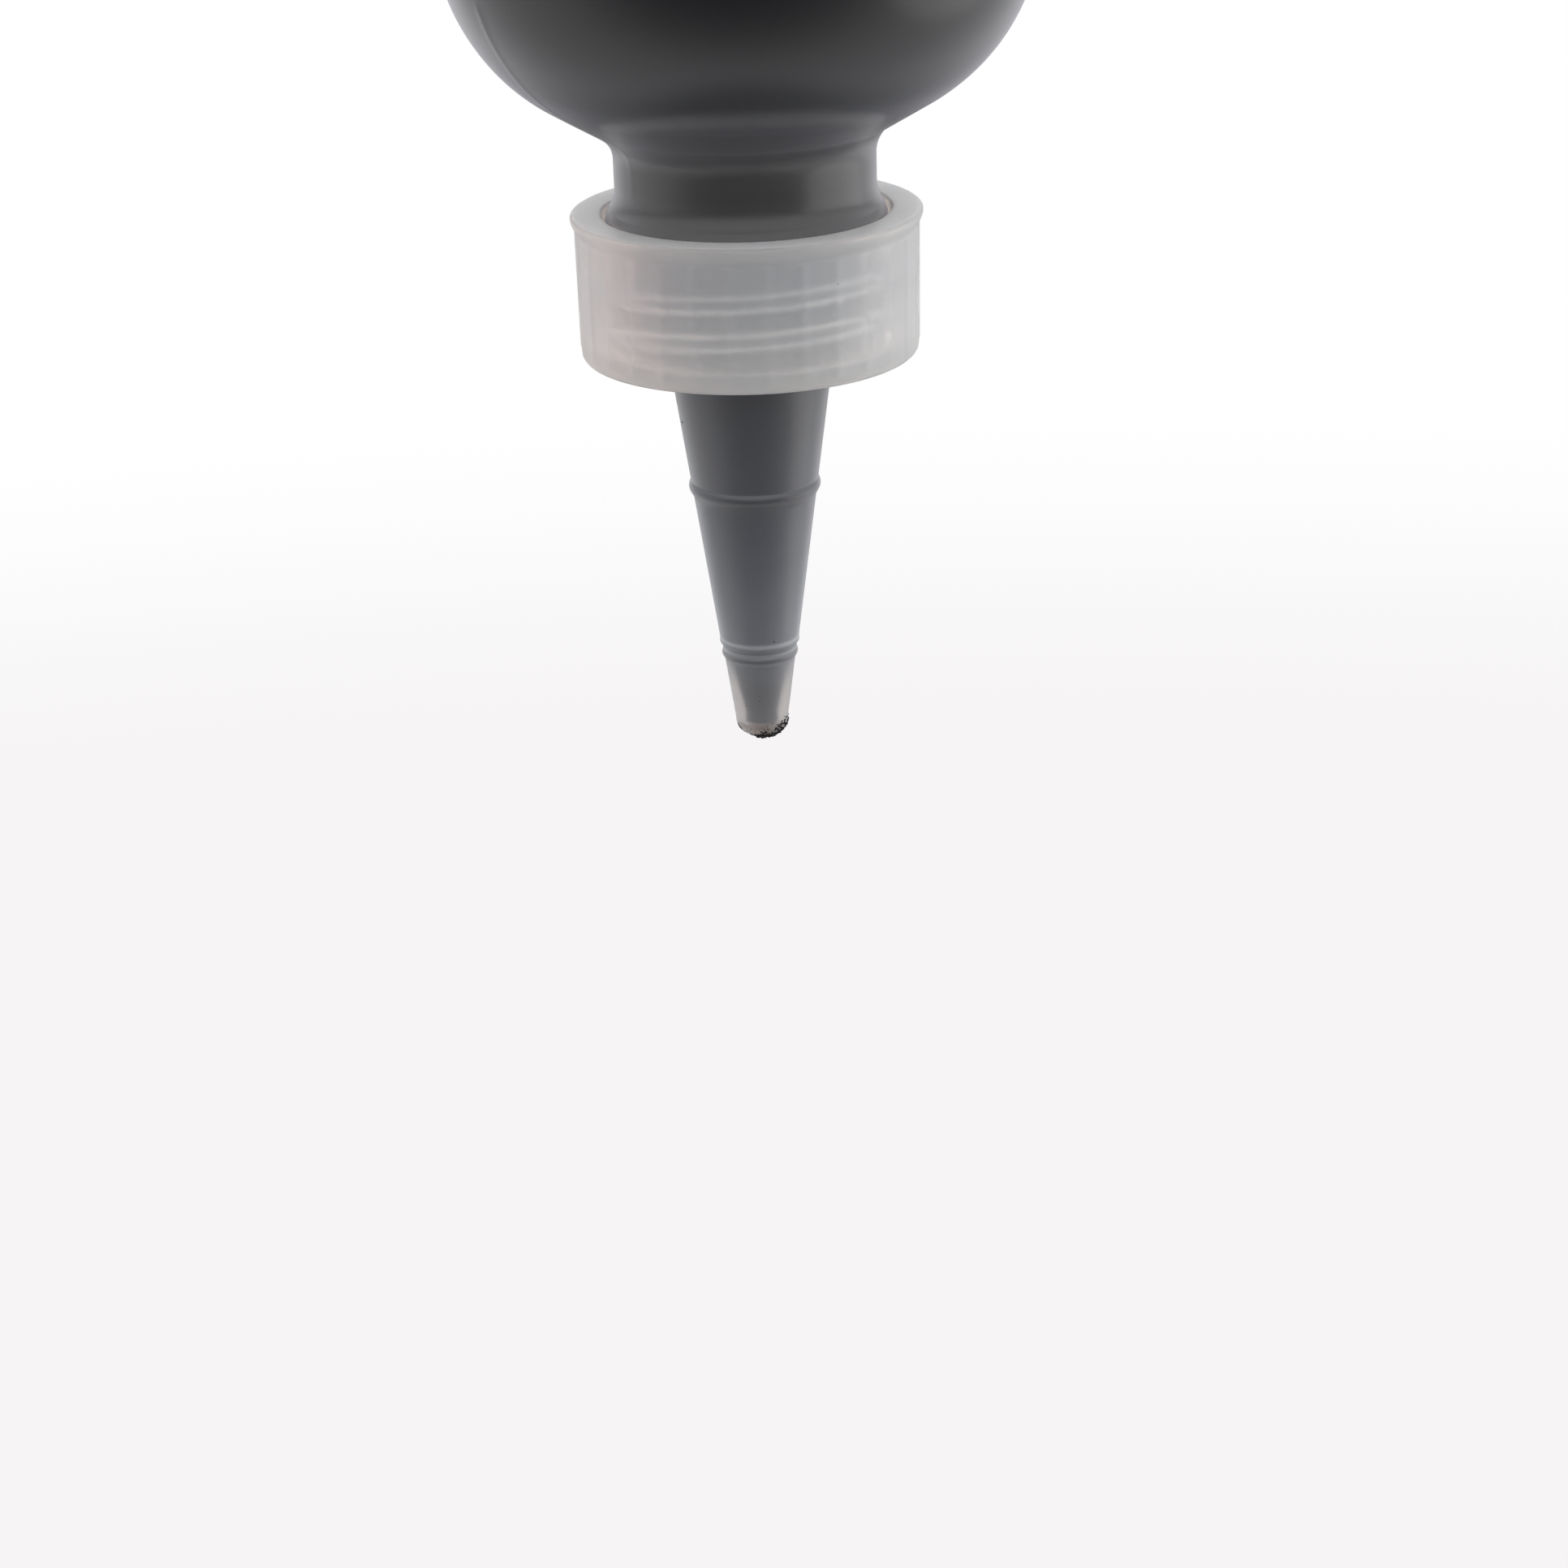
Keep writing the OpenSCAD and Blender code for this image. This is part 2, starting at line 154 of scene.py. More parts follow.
class NozzleSizes(bpy.types.PropertyGroup):
    """Sizes of the nozzle"""
    root_r: length("Root radius", "Radius of the cone where it leaves the collar", 7.1 * MM)
    end_r: length("End radius", "Radius that the cone would have at its end", 2.2 * MM)
    orifice_r: length("Orifice radius", "Radius of the orifice", 0.9 * MM)
    orifice_len: length("Orifice length", "Length of the orifice's channel", 2.5 * MM)
    bore_end_r: length("Bore end", "Radius of the bore where it meets the channel", 0.95 * MM)
    dust_end: length("Dust end", "From the end face to the dust in the channel", 1.25 * MM)
    cone_wall: length("Cone wall", "Wall of the cone at its root", 1.1 * MM)
    tip_edge_r: length("Tip edge", "Radius that rounds the tip", 1.2 * MM)
    stop_bead_at: length("Stop bead", "From the end face to the stop bead", 11.8 * MM)
    stop_bead_proud: length("Stop bead height", "Height of the stop bead", 0.27 * MM)
    stop_bead_r: length("Stop bead radius", "Radius of the stop bead's back", 0.9 * MM)
    snap_bead_at: length("Snap bead", "From the end face to the first snap bead", 26.05 * MM)
    snap_bead_proud: length("Snap bead height", "Height of the first snap bead", 0.08 * MM)
    snap_bead_r: length("Snap bead radius", "Radius of the first snap bead's back", 0.35 * MM)
    snap_bead_step: length("Snap bead step", "From the first snap bead to the second", 1.15 * MM)
    snap_lip_proud: length("Snap lip height", "Height of the second snap bead", 0.17 * MM)
    snap_lip_r: length("Snap lip radius", "Radius of the second snap bead's back", 0.5 * MM)
    tip_step: length("Tip step", "Step down from the cone to the tip's cone", 0.09 * MM)
    root_bead_proud: length("Root bead height", "Height of the retaining bead", 0.3 * MM)
    root_bead_r: length("Root bead radius", "Radius of the retaining bead's back", 0.4 * MM)
    flange_t: length("Flange", "Thickness of the flange", 1.1 * MM)
    plug_wall: length("Plug wall", "Wall of the plug skirt", 1 * MM)
    plug_r: length("Plug radius", "Outer radius of the plug skirt", 9 * MM)


class PowderSizes(bpy.types.PropertyGroup):
    """Sizes of the powder that clings to the outside"""
    crust_t: length("Crust", "Thickness of the crust on the tip", 0.3 * MM)
    grain_r: length("Grain", "Mean radius of a lump of powder", 0.115 * MM)
    grain_count: bpy.props.IntProperty(
        name="Grains", description="Number of grains on the tip", default=520, min=0, max=3000)
    seed: bpy.props.IntProperty(name="Seed", description="Seed of the grains", default=7)


class LubricantColours(bpy.types.PropertyGroup):
    """Colours of the pieces, as sRGB hex"""
    body_dark: colour("Body", "Polyethylene with graphite behind it", "#18181B")
    neck_grey: colour("Neck", "The thicker wall of the neck", "#414041")
    nozzle_root: colour("Nozzle root", "The nozzle next to the collar", "#494A4E")
    nozzle_tip: colour("Nozzle tip", "The nozzle above its snap beads", "#808389")
    tip_beige: colour("Tip end", "Thick polyethylene round the orifice", "#A89D98")
    clear_ldpe: colour("Clear tip", "Light passed by the thick tip", "#F6ECE6")
    collar_milk: colour("Collar", "Light scattered in natural polypropylene", "#E0E5EA")
    collar_clear: colour("Collar clear", "Light passed by natural polypropylene", "#FDF3EC")
    graphite: colour("Graphite", "Dry graphite powder", "#0E0E0F")


GROUPS = {
    "lube_bottle": BottleSizes,
    "lube_thread": ThreadSizes,
    "lube_collar": CollarSizes,
    "lube_nozzle": NozzleSizes,
    "lube_powder": PowderSizes,
    "lube_colours": LubricantColours,
}


def linear(hex_text):
    """An sRGB hex colour as linear RGBA."""
    shares = [int(hex_text[i:i + 2], 16) / 255 for i in (1, 3, 5)]
    return (*[s / 12.92 if s <= 0.04045 else ((s + 0.055) / 1.055) ** 2.4 for s in shares], 1)


def node(tree, kind, values=None, links=None, **settings):
    """Add a node of this kind with its settings, its sockets' values and its links."""
    made = tree.nodes.new(kind)
    for name, value in settings.items():
        setattr(made, name, value)
    for socket, value in (values or {}).items():
        made.inputs[socket].default_value = value
    for socket, source in (links or {}).items():
        tree.links.new(source, made.inputs[socket])
    return made


def new_material(name):
    """An empty node material, its tree and its output node."""
    material = bpy.data.materials.new(name)
    material.use_nodes = True
    tree = material.node_tree
    tree.nodes.clear()
    return material, tree, node(tree, "ShaderNodeOutputMaterial")


def height_ramp(tree, low, high, stops):
    """A colour that changes with the height above the table: stops are (height, hex colour). Gives
    the place on the object, its height and the colour there."""
    place = node(tree, "ShaderNodeTexCoord").outputs["Object"]
    height = node(tree, "ShaderNodeSeparateXYZ", links={"Vector": place}).outputs["Z"]
    share = node(tree, "ShaderNodeMapRange", {"From Min": low, "From Max": high},
                 {"Value": height})
    ramp = node(tree, "ShaderNodeValToRGB", links={"Fac": share.outputs["Result"]})
    marks = ramp.color_ramp.elements
    while len(marks) < len(stops):
        marks.new(0.5)
    for mark, (stop, shade) in zip(marks, stops):
        mark.position = (stop - low) / (high - low)
        mark.color = linear(shade)
    return place, height, ramp.outputs["Color"]


def mottled(tree, place, plain, scale_mm, amount):
    """The colour plain, made lighter and darker in soft patches of about scale_mm."""
    patch = node(tree, "ShaderNodeTexNoise",
                 {"Scale": 1 / (scale_mm * MM), "Detail": 2, "Roughness": 0.45},
                 {"Vector": place})
    level = node(tree, "ShaderNodeMapRange",
                 {"From Min": 0.15, "From Max": 0.85, "To Min": 1 - amount, "To Max": 1 + amount},
                 {"Value": patch.outputs["Fac"]}, clamp=False)
    return node(tree, "ShaderNodeVectorMath", None,
                {0: plain, "Scale": level.outputs["Result"]}, operation="SCALE").outputs["Vector"]


def moulded_bump(tree, place, scale_mm, depth_mm, strength):
    """A normal for the fine unevenness of a moulded surface."""
    grain = node(tree, "ShaderNodeTexNoise",
                 {"Scale": 1 / (scale_mm * MM), "Detail": 3, "Roughness": 0.55},
                 {"Vector": place})
    bump = node(tree, "ShaderNodeBump", {"Strength": strength, "Distance": depth_mm * MM},
                {"Height": grain.outputs["Fac"]})
    return bump.outputs["Normal"]


def varied_roughness(tree, place, scale_mm, low, high):
    """A roughness between low and high, in patches of about scale_mm."""
    patch = node(tree, "ShaderNodeTexNoise", {"Scale": 1 / (scale_mm * MM), "Detail": 1},
                 {"Vector": place})
    return node(tree, "ShaderNodeMapRange",
                {"From Min": 0.15, "From Max": 0.85, "To Min": low, "To Max": high},
                {"Value": patch.outputs["Fac"]}, clamp=False).outputs["Result"]


def blow_moulded_ldpe(colours):
    """Blow-moulded natural LDPE, dark with the graphite behind it."""
    # Milky polyethylene over black powder: near black where the wall is thin, greyer in the thick
    # neck, with a soft glow at its outline where light runs along inside the wall.
    material, tree, output = new_material("blow_moulded_ldpe")
    # Just below the height where the shoulder's slope runs into the neck.
    slope_z = COLLAR_LOW.z - 7 * MM
    place, height, shade = height_ramp(tree, 0, BOTTLE_HIGH.z, [
        (4 * MM, "#1D1D20"),
        (20 * MM, colours.body_dark),
        (72 * MM, colours.body_dark),
        (78 * MM, "#1F2025"),
        (slope_z - 0.7 * MM, "#222225"),
        (slope_z + 1.1 * MM, "#454546"),
        (COLLAR_LOW.z - 3 * MM, colours.neck_grey),
        # Lighter up to the collar's mouth: a painted highlight on the bead and its flare.
        (COLLAR_LOW.z, "#4E4D4F"),
    ])
    patchy = mottled(tree, place, shade, 9, 0.1)
    rough = varied_roughness(tree, place, 14, 0.22, 0.28)
    normal = moulded_bump(tree, place, 2.4, 0.02, 0.2)
    # The slope's copy has little sheen: painted shade that dims the shoulder's slope.
    body, slope, neck = (
        node(tree, "ShaderNodeBsdfPrincipled",
             {"IOR": 1.51, "Sheen Weight": weight, "Sheen Roughness": spread,
              "Sheen Tint": linear("#E6E6F0"), "Subsurface Weight": 0.3,
              "Subsurface Radius": (1, 0.95, 1), "Subsurface Scale": 1.2 * MM},
             {"Base Color": patchy, "Roughness": rough, "Normal": normal}).outputs["BSDF"]
        for weight, spread in ((0.83, 0.33), (0.36, 0.33), (0.85, 0.42)))
    coat = body
    for other, start, end in ((slope, -4.2, -2), (neck, -0.2, 1.6)):
        share = node(tree, "ShaderNodeMapRange",
                     {"From Min": slope_z + start * MM, "From Max": slope_z + end * MM},
                     {"Value": height}, interpolation_type="SMOOTHSTEP")
        coat = node(tree, "ShaderNodeMixShader", None,
                    {0: share.outputs["Result"], 1: coat, 2: other}).outputs["Shader"]
    tree.links.new(coat, output.inputs["Surface"])
    return material


def moulded_ldpe(colours, sizes):
    """Injection-moulded natural LDPE, grey with the graphite in its bore."""
    # The grey grows lighter towards the tip, where the wall is thick. There part of the light
    # passes, so the dark bore shows as a soft core between milky beige edges.
    material, tree, output = new_material("injection_moulded_ldpe")
    top = NOZZLE_HIGH.z
    face = COLLAR_HIGH.z
    snap = face + sizes.snap_bead_at
    stop = face + sizes.stop_bead_at
    place, height, shade = height_ramp(tree, NOZZLE_LOW.z, top, [
        (face - 2 * MM, colours.nozzle_root),
        (face + 9 * MM, "#4B4C51"),
        # Painted highlight on the stop bead's collar side, then a painted dark line past it.
        (stop - 0.75 * MM, "#4C4D52"),
        (stop - 0.45 * MM, "#5E6065"),
        (stop - 0.1 * MM, "#4D4E53"),
        (stop + 0.3 * MM, "#3C3D42"),
        (stop + 0.65 * MM, "#1E1F22"),
        (stop + 0.95 * MM, "#4F5056"),
        (face + 18 * MM, "#585A60"),
        # Painted highlights on both snap beads' collar sides and a painted dark line past them.
        (snap - 0.55 * MM, "#6B6E74"),
        (snap - 0.3 * MM, "#A6A9AD"),
        (snap + 0.05 * MM, "#62646A"),
        (snap + 0.45 * MM, "#5E6066"),
        (snap + 0.65 * MM, "#9B9EA2"),
        (snap + 0.95 * MM, "#6E7076"),
        (snap + 1.25 * MM, "#505258"),
        (snap + 1.6 * MM, "#787B81"),
        (snap + 4 * MM, colours.nozzle_tip),
        (top - 1.6 * MM, "#8C8E94"),
        (top - 0.9 * MM, colours.tip_beige),
    ])
    patchy = mottled(tree, place, shade, 3.5, 0.06)
    rough = varied_roughness(tree, place, 6, 0.275, 0.295)
    normal = moulded_bump(tree, place, 0.9, 0.008, 0.2)
    haze = node(tree, "ShaderNodeBsdfPrincipled",
                {"IOR": 1.51, "Sheen Weight": 0.7, "Sheen Roughness": 0.43,
                 "Sheen Tint": linear("#EAEBF2"), "Subsurface Weight": 0.5,
                 "Subsurface Radius": (1, 0.95, 0.9), "Subsurface Scale": 1.5 * MM},
                {"Base Color": patchy, "Roughness": rough, "Normal": normal})
    clear = node(tree, "ShaderNodeBsdfPrincipled",
                 {"Base Color": linear(colours.clear_ldpe), "IOR": 1.51, "Roughness": 0.32,
                  "Transmission Weight": 1.0})
    share = node(tree, "ShaderNodeMapRange",
                 {"From Min": snap - 1.2 * MM, "From Max": top - 4 * MM, "To Max": 0.62},
                 {"Value": height}, interpolation_type="SMOOTHSTEP")
    both = node(tree, "ShaderNodeMixShader", None,
                {0: share.outputs["Result"], 1: haze.outputs["BSDF"], 2: clear.outputs["BSDF"]})
    tree.links.new(both.outputs["Shader"], output.inputs["Surface"])
    return material


def dusty_bore():
    """The nozzle's bore, moulded LDPE with a film of graphite dust."""
    # The dust in the fine unevenness of the bore makes an even cool grey core behind the clear tip.
    material, tree, output = new_material("dusty_ldpe_bore")
    place = node(tree, "ShaderNodeTexCoord").outputs["Object"]
    plain = node(tree, "ShaderNodeRGB")
    plain.outputs["Color"].default_value = linear("#7A7D83")
    shader = node(tree, "ShaderNodeBsdfPrincipled", {"IOR": 1.51, "Roughness": 0.7},
                  {"Base Color": mottled(tree, place, plain.outputs["Color"], 1.5, 0.1)})
    tree.links.new(shader.outputs["BSDF"], output.inputs["Surface"])
    return material


def natural_polypropylene(colours, name, clear_share, thread_share, depth_mm):
    """Injection-moulded natural polypropylene, milky and translucent."""
    # Hazy plastic: part of the light scatters in it, which looks cool, and part passes with a faint
    # warm tint, so the dark neck shows through it softly. Where the thread thickens the wall, less
    # light passes, and the turns of the thread show as paler bands.
    material, tree, output = new_material(name)
    place, _, shade = height_ramp(tree, COLLAR_LOW.z, COLLAR_HIGH.z, [
        (COLLAR_LOW.z, "#EFF1F3"),
        (COLLAR_LOW.z + 2 * MM, colours.collar_milk),
        (COLLAR_LOW.z + 5 * MM, colours.collar_milk),
        (COLLAR_HIGH.z, "#F4F6F8"),
    ])
    rough = varied_roughness(tree, place, 6, 0.38, 0.46)
    normal = moulded_bump(tree, place, 1.2, 0.01, 0.2)
    haze = node(tree, "ShaderNodeBsdfPrincipled",
                {"IOR": 1.5, "Subsurface Weight": 1.0, "Subsurface Radius": (1, 0.95, 0.95),
                 "Subsurface Scale": depth_mm * MM},
                {"Base Color": mottled(tree, place, shade, 5, 0.03),
                 "Roughness": rough, "Normal": normal})
    clear = node(tree, "ShaderNodeBsdfPrincipled",
                 {"Base Color": linear(colours.collar_clear), "IOR": 1.5,
                  "Transmission Weight": 1.0},
                 {"Roughness": rough, "Normal": normal})
    thread = node(tree, "ShaderNodeAttribute", attribute_name=THREAD_BEHIND)
    share = node(tree, "ShaderNodeMapRange", {"To Min": clear_share, "To Max": thread_share},
                 {"Value": thread.outputs["Fac"]})
    both = node(tree, "ShaderNodeMixShader", None,
                {0: share.outputs["Result"], 1: haze.outputs["BSDF"], 2: clear.outputs["BSDF"]})
    tree.links.new(both.outputs["Shader"], output.inputs["Surface"])
    return material


def polished_polypropylene(colours):
    """Natural polypropylene off a polished core: the collar's bore and its thread."""
    # A core is polished so that the moulding strips off it, which leaves the bore clearer.
    material, tree, output = new_material("polished_core_polypropylene")
    shader = node(tree, "ShaderNodeBsdfPrincipled",
                  {"Base Color": linear(colours.collar_clear), "IOR": 1.5, "Roughness": 0.32,
                   "Transmission Weight": 0.95})
    tree.links.new(shader.outputs["BSDF"], output.inputs["Surface"])
    return material


def graphite_powder(colours):
    """Dry graphite powder: black and matt, with a few flakes that glint."""
    # Grains of 0.05 to 0.2 mm give a rough black, and flakes that lie flat shine like dull metal.
    material, tree, output = new_material("dry_graphite_powder")
    place = node(tree, "ShaderNodeTexCoord").outputs["Object"]
    plain = node(tree, "ShaderNodeRGB")
    plain.outputs["Color"].default_value = linear(colours.graphite)
    patchy = mottled(tree, place, plain.outputs["Color"], 0.35, 0.5)
    flakes = node(tree, "ShaderNodeTexVoronoi", {"Scale": 1 / (0.22 * MM)},
                  {"Vector": place})
    glint = node(tree, "ShaderNodeMapRange",
                 {"From Min": 0.9, "From Max": 0.98, "To Min": 0.95, "To Max": 0.45},
                 {"Value": flakes.outputs["Color"]})
    lumps = node(tree, "ShaderNodeTexNoise", {"Scale": 1 / (0.12 * MM), "Detail": 5},
                 {"Vector": place})
    bump = node(tree, "ShaderNodeBump", {"Strength": 0.8, "Distance": 0.05 * MM},
                {"Height": lumps.outputs["Fac"]})
    shader = node(tree, "ShaderNodeBsdfPrincipled", {"IOR": 1.6},
                  {"Base Color": patchy, "Roughness": glint.outputs["Result"],
                   "Normal": bump.outputs["Normal"]})
    tree.links.new(shader.outputs["BSDF"], output.inputs["Surface"])
    return material


def arc(x, z, r, start, end, steps):
    """Points (radius, height) along an arc from one angle to another, in degrees."""
    turns = [radians(start + (end - start) * i / steps) for i in range(steps + 1)]
    return [(x + r * cos(a), z + r * sin(a)) for a in turns]


class Outline:
    """A profile drawn with a pen: points of radius and height, each with its part's number."""

    def __init__(self, pen=None):
        self.points, self.pen, self.region = [], pen, PLAIN

    def through(self, places):
        """Go through these places, but not again through the one where the pen is."""
        same = 0.001 * MM
        here = bool(self.pen) and hypot(places[0][0] - self.pen[0],
                                        places[0][1] - self.pen[1]) < same
        self.points += [(*place, self.region) for place in places[here:]]
        self.pen = places[-1]

    def to(self, x, z, steps):
        """A straight run in even steps."""
        a, b = self.pen
        self.through([(a + (x - a) * i / steps, b + (z - b) * i / steps)
                      for i in range(steps + 1)])

    def round(self, x, z, r, start, end, steps):
        """An arc round a centre, from one angle to another, in degrees."""
        self.through(arc(x, z, r, start, end, steps))


def linked_piece(name, points, faces):
    """A new object of these points and faces, in the scene."""
    mesh = bpy.data.meshes.new(name)
    mesh.from_pydata(points, [], faces)
    mesh.validate()
    piece = bpy.data.objects.new(name, mesh)
    bpy.context.scene.collection.objects.link(piece)
    return piece


def corners_of(mesh):
    """The mesh's vertices as rows of x, y and z."""
    corners = np.zeros(len(mesh.vertices) * 3)
    mesh.vertices.foreach_get("co", corners)
    return corners.reshape(-1, 3)


def turned(name, profile, angles, shape=None, closed=False):
    """A surface of revolution. profile is (radius, height, region), and shape(angle, radius,
    height, region) gives each point's own radius and height. A closed profile joins up with its
    start."""
    radius, height = (np.array([p[i] for p in profile])[:, None] for i in (0, 1))
    region = np.array([p[2] for p in profile])[:, None]
    turn = np.array(angles)[None, :]
    radius, height, turn, region = np.broadcast_arrays(radius, height, turn, region)
    if shape:
        radius, height = shape(turn, radius, height, region)
    grid = np.stack([radius * np.cos(turn), radius * np.sin(turn), height], -1)
    rows, columns = turn.shape
    first, last = 0, rows - 1
    points, faces = [], []
    start = {}
    for i in range(rows):
        start[i] = len(points)
        pole = not closed and i in (first, last)
        points += [tuple(grid[i, 0])] if pole else [tuple(p) for p in grid[i]]
    for i in range(rows if closed else last):
        below, above = start[i], start[(i + 1) % rows]
        for j in range(columns):
            k = (j + 1) % columns
            if not closed and i == first:
                faces.append((below, above + k, above + j))
            elif not closed and i == last - 1:
                faces.append((below + j, below + k, above))
            else:
                faces.append((below + j, below + k, above + k, above + j))
    piece = linked_piece(name, points, faces)
    piece.data.shade_smooth()
    return piece


def smooth_step(share):
    """An even rise from 0 to 1 with flat ends."""
    share = np.clip(share, 0, 1)
    return share * share * (3 - 2 * share)


def ridge_section(away, sizes):
    """Share of a ridge's depth at a distance from its middle, with eased corners."""
    flank = (sizes.root_w - sizes.crest_w) / 2
    return smooth_step((sizes.root_w / 2 + 0.1 * flank - away) / (1.2 * flank))


def pale_band(away, sizes):
    """How pale a wall looks that has a ridge behind it: an even band, palest at the flanks."""
    flank_at, flank_w = sizes.root_w / 2 - 0.07 * MM, 0.34 * MM
    half_w, edge = 1.25 * MM, 0.55 * MM
    return (0.45 * smooth_step((half_w - away) / edge)
            + 0.15 * np.exp(-((away - flank_at) / flank_w) ** 2))


def thread_ridge(turn, height, sizes, turns, end_at, top_z, section=ridge_section):
    """How much of a helical ridge there is at each angle and height, by its section. It fades out
    at both ends."""
    found = np.zeros(turn.shape)
    whole = 2 * pi
    lap = int(end_at // whole) + 1
    for k in range(-1, lap + int(turns) + 2):
        back = end_at - (turn % whole) + (k - lap) * whole
        centre = top_z - back * sizes.pitch / whole
        fade = smooth_step(np.minimum(back, turns * whole - back) / sizes.fade)
        found = np.maximum(found, section(np.abs(height - centre), sizes) * fade)
    return found


def shoulder_places(sizes, wall, top_r):
    """Where the shoulder's arc starts, where its slope starts and where the slope meets top_r."""
    sweep = sizes.shoulder_sweep
    body_r = BOTTLE_HIGH.x
    centre_x = body_r - sizes.shoulder_r
    slope_x = centre_x + sizes.shoulder_r * cos(sweep)
    centre_z = (BOTTLE_HIGH.z - sizes.neck_h - sizes.shoulder_r * sin(sweep)
                - (slope_x - sizes.neck_r) / tan(sweep))
    arc_r = sizes.shoulder_r - wall
    slope = (centre_x + arc_r * cos(sweep), centre_z + arc_r * sin(sweep))
    meet = (top_r, slope[1] + (slope[0] - top_r) / tan(sweep))
    return (centre_x, centre_z), arc_r, slope, meet


def bottle_profile(s):
    """Outline of the bottle from the middle of its push-up, round the lip, to its inner floor."""
    body_r, top, mouth = BOTTLE_HIGH.x, BOTTLE_HIGH.z, COLLAR_LOW.z
    bore_r = s.neck_r - s.neck_wall
    sweep = degrees(s.shoulder_sweep)
    dome_r = (s.pushup_r ** 2 + s.pushup_h ** 2) / (2 * s.pushup_h)
    dome_z = s.pushup_h - dome_r
    centre, arc_r, slope, _ = shoulder_places(s, 0, s.neck_r)
    pen = Outline()
    pen.round(0, dome_z, dome_r, 90, degrees(atan2(-dome_z, s.pushup_r - s.pushup_edge_r)), 10)
    pen.to(s.pushup_r + s.pushup_edge_r, 0, 4)
    pen.to(body_r - s.heel_r, 0, 3)
    pen.round(body_r - s.heel_r, s.heel_r, s.heel_r, -90, 0, 14)
    pen.to(body_r, centre[1], 30)
    pen.round(*centre, arc_r, 0, sweep, 30)
    fillet_x = s.neck_r + s.neck_fillet_r
    fillet_z = slope[1] + (
        s.neck_fillet_r - (fillet_x - slope[0]) * cos(s.shoulder_sweep)) / sin(s.shoulder_sweep)
    fillet = arc(fillet_x, fillet_z, s.neck_fillet_r, 180 + sweep, 180, 14)
    pen.to(*fillet[0], 4)
    pen.through(fillet)
    pen.to(s.neck_r, mouth - s.bead_flare, 6)
    flare_r = (s.bead_proud ** 2 + s.bead_flare ** 2) / (2 * s.bead_proud)
    reach = degrees(acos((flare_r - s.bead_proud + s.bead_h / 4) / flare_r))
    pen.round(s.neck_r + flare_r, mouth - s.bead_flare, flare_r, 180, 180 - reach, 12)
    half = s.bead_h / 2
    pen.round(s.neck_r + s.bead_proud - half, mouth + half, half, -50, 90, 14)
    edge, thread_foot = s.lip_edge_r, mouth + s.bead_h
    pen.to(s.neck_r + edge, thread_foot, 2)
    pen.round(s.neck_r + edge, thread_foot + edge, edge, 270, 180, 4)
    pen.region = RIDGED
    pen.to(s.neck_r, top - edge, 76)
    pen.region = INNER
    pen.round(s.neck_r - edge, top - edge, edge, 0, 90, 5)
    pen.to(bore_r + edge, top, 2)
    pen.round(bore_r + edge, top - edge, edge, 90, 180, 5)
    centre, arc_r, slope, meet = shoulder_places(s, s.body_wall, bore_r)
    pen.to(*meet, 6)
    pen.to(*slope, 3)
    pen.round(*centre, arc_r, sweep, 0, 10)
    heel_r = s.heel_r - s.body_wall
    wall_r = body_r - s.body_wall
    pen.to(wall_r, s.floor_t + heel_r, 4)
    pen.round(wall_r - heel_r, s.floor_t + heel_r, heel_r, 0, -90, 6)
    floor_r = dome_r + s.floor_t
    reach = sqrt(floor_r ** 2 - (s.floor_t - dome_z) ** 2)
    pen.to(reach, s.floor_t, 2)
    pen.round(0, dome_z, floor_r, degrees(atan2(s.floor_t - dome_z, reach)), 90, 6)
    return pen.points


def seam_columns(seam_at, count, half_w):
    """Even angles round the bottle, with finer ones next to both ends of the parting line."""
    even = [2 * pi * i / count for i in range(count)]
    near = [s * half_w * k for s in (-1, 1) for k in (0.15, 0.45, 0.8, 1.2)] + [0]
    extra = [(seam_at + side + d) % (2 * pi) for side in BOTH_SIDES for d in near]
    clear = [a for a in even
             if min(abs((a - e + pi) % (2 * pi) - pi) for e in extra) > 0.2 * half_w]
    return sorted(clear + extra)


def soft_waves(points, scale, seed):
    """Smooth noise from -1 to 1 at each point."""
    return np.array([noise.noise(Vector(p) / scale + Vector((seed, 0, 0))) for p in points])


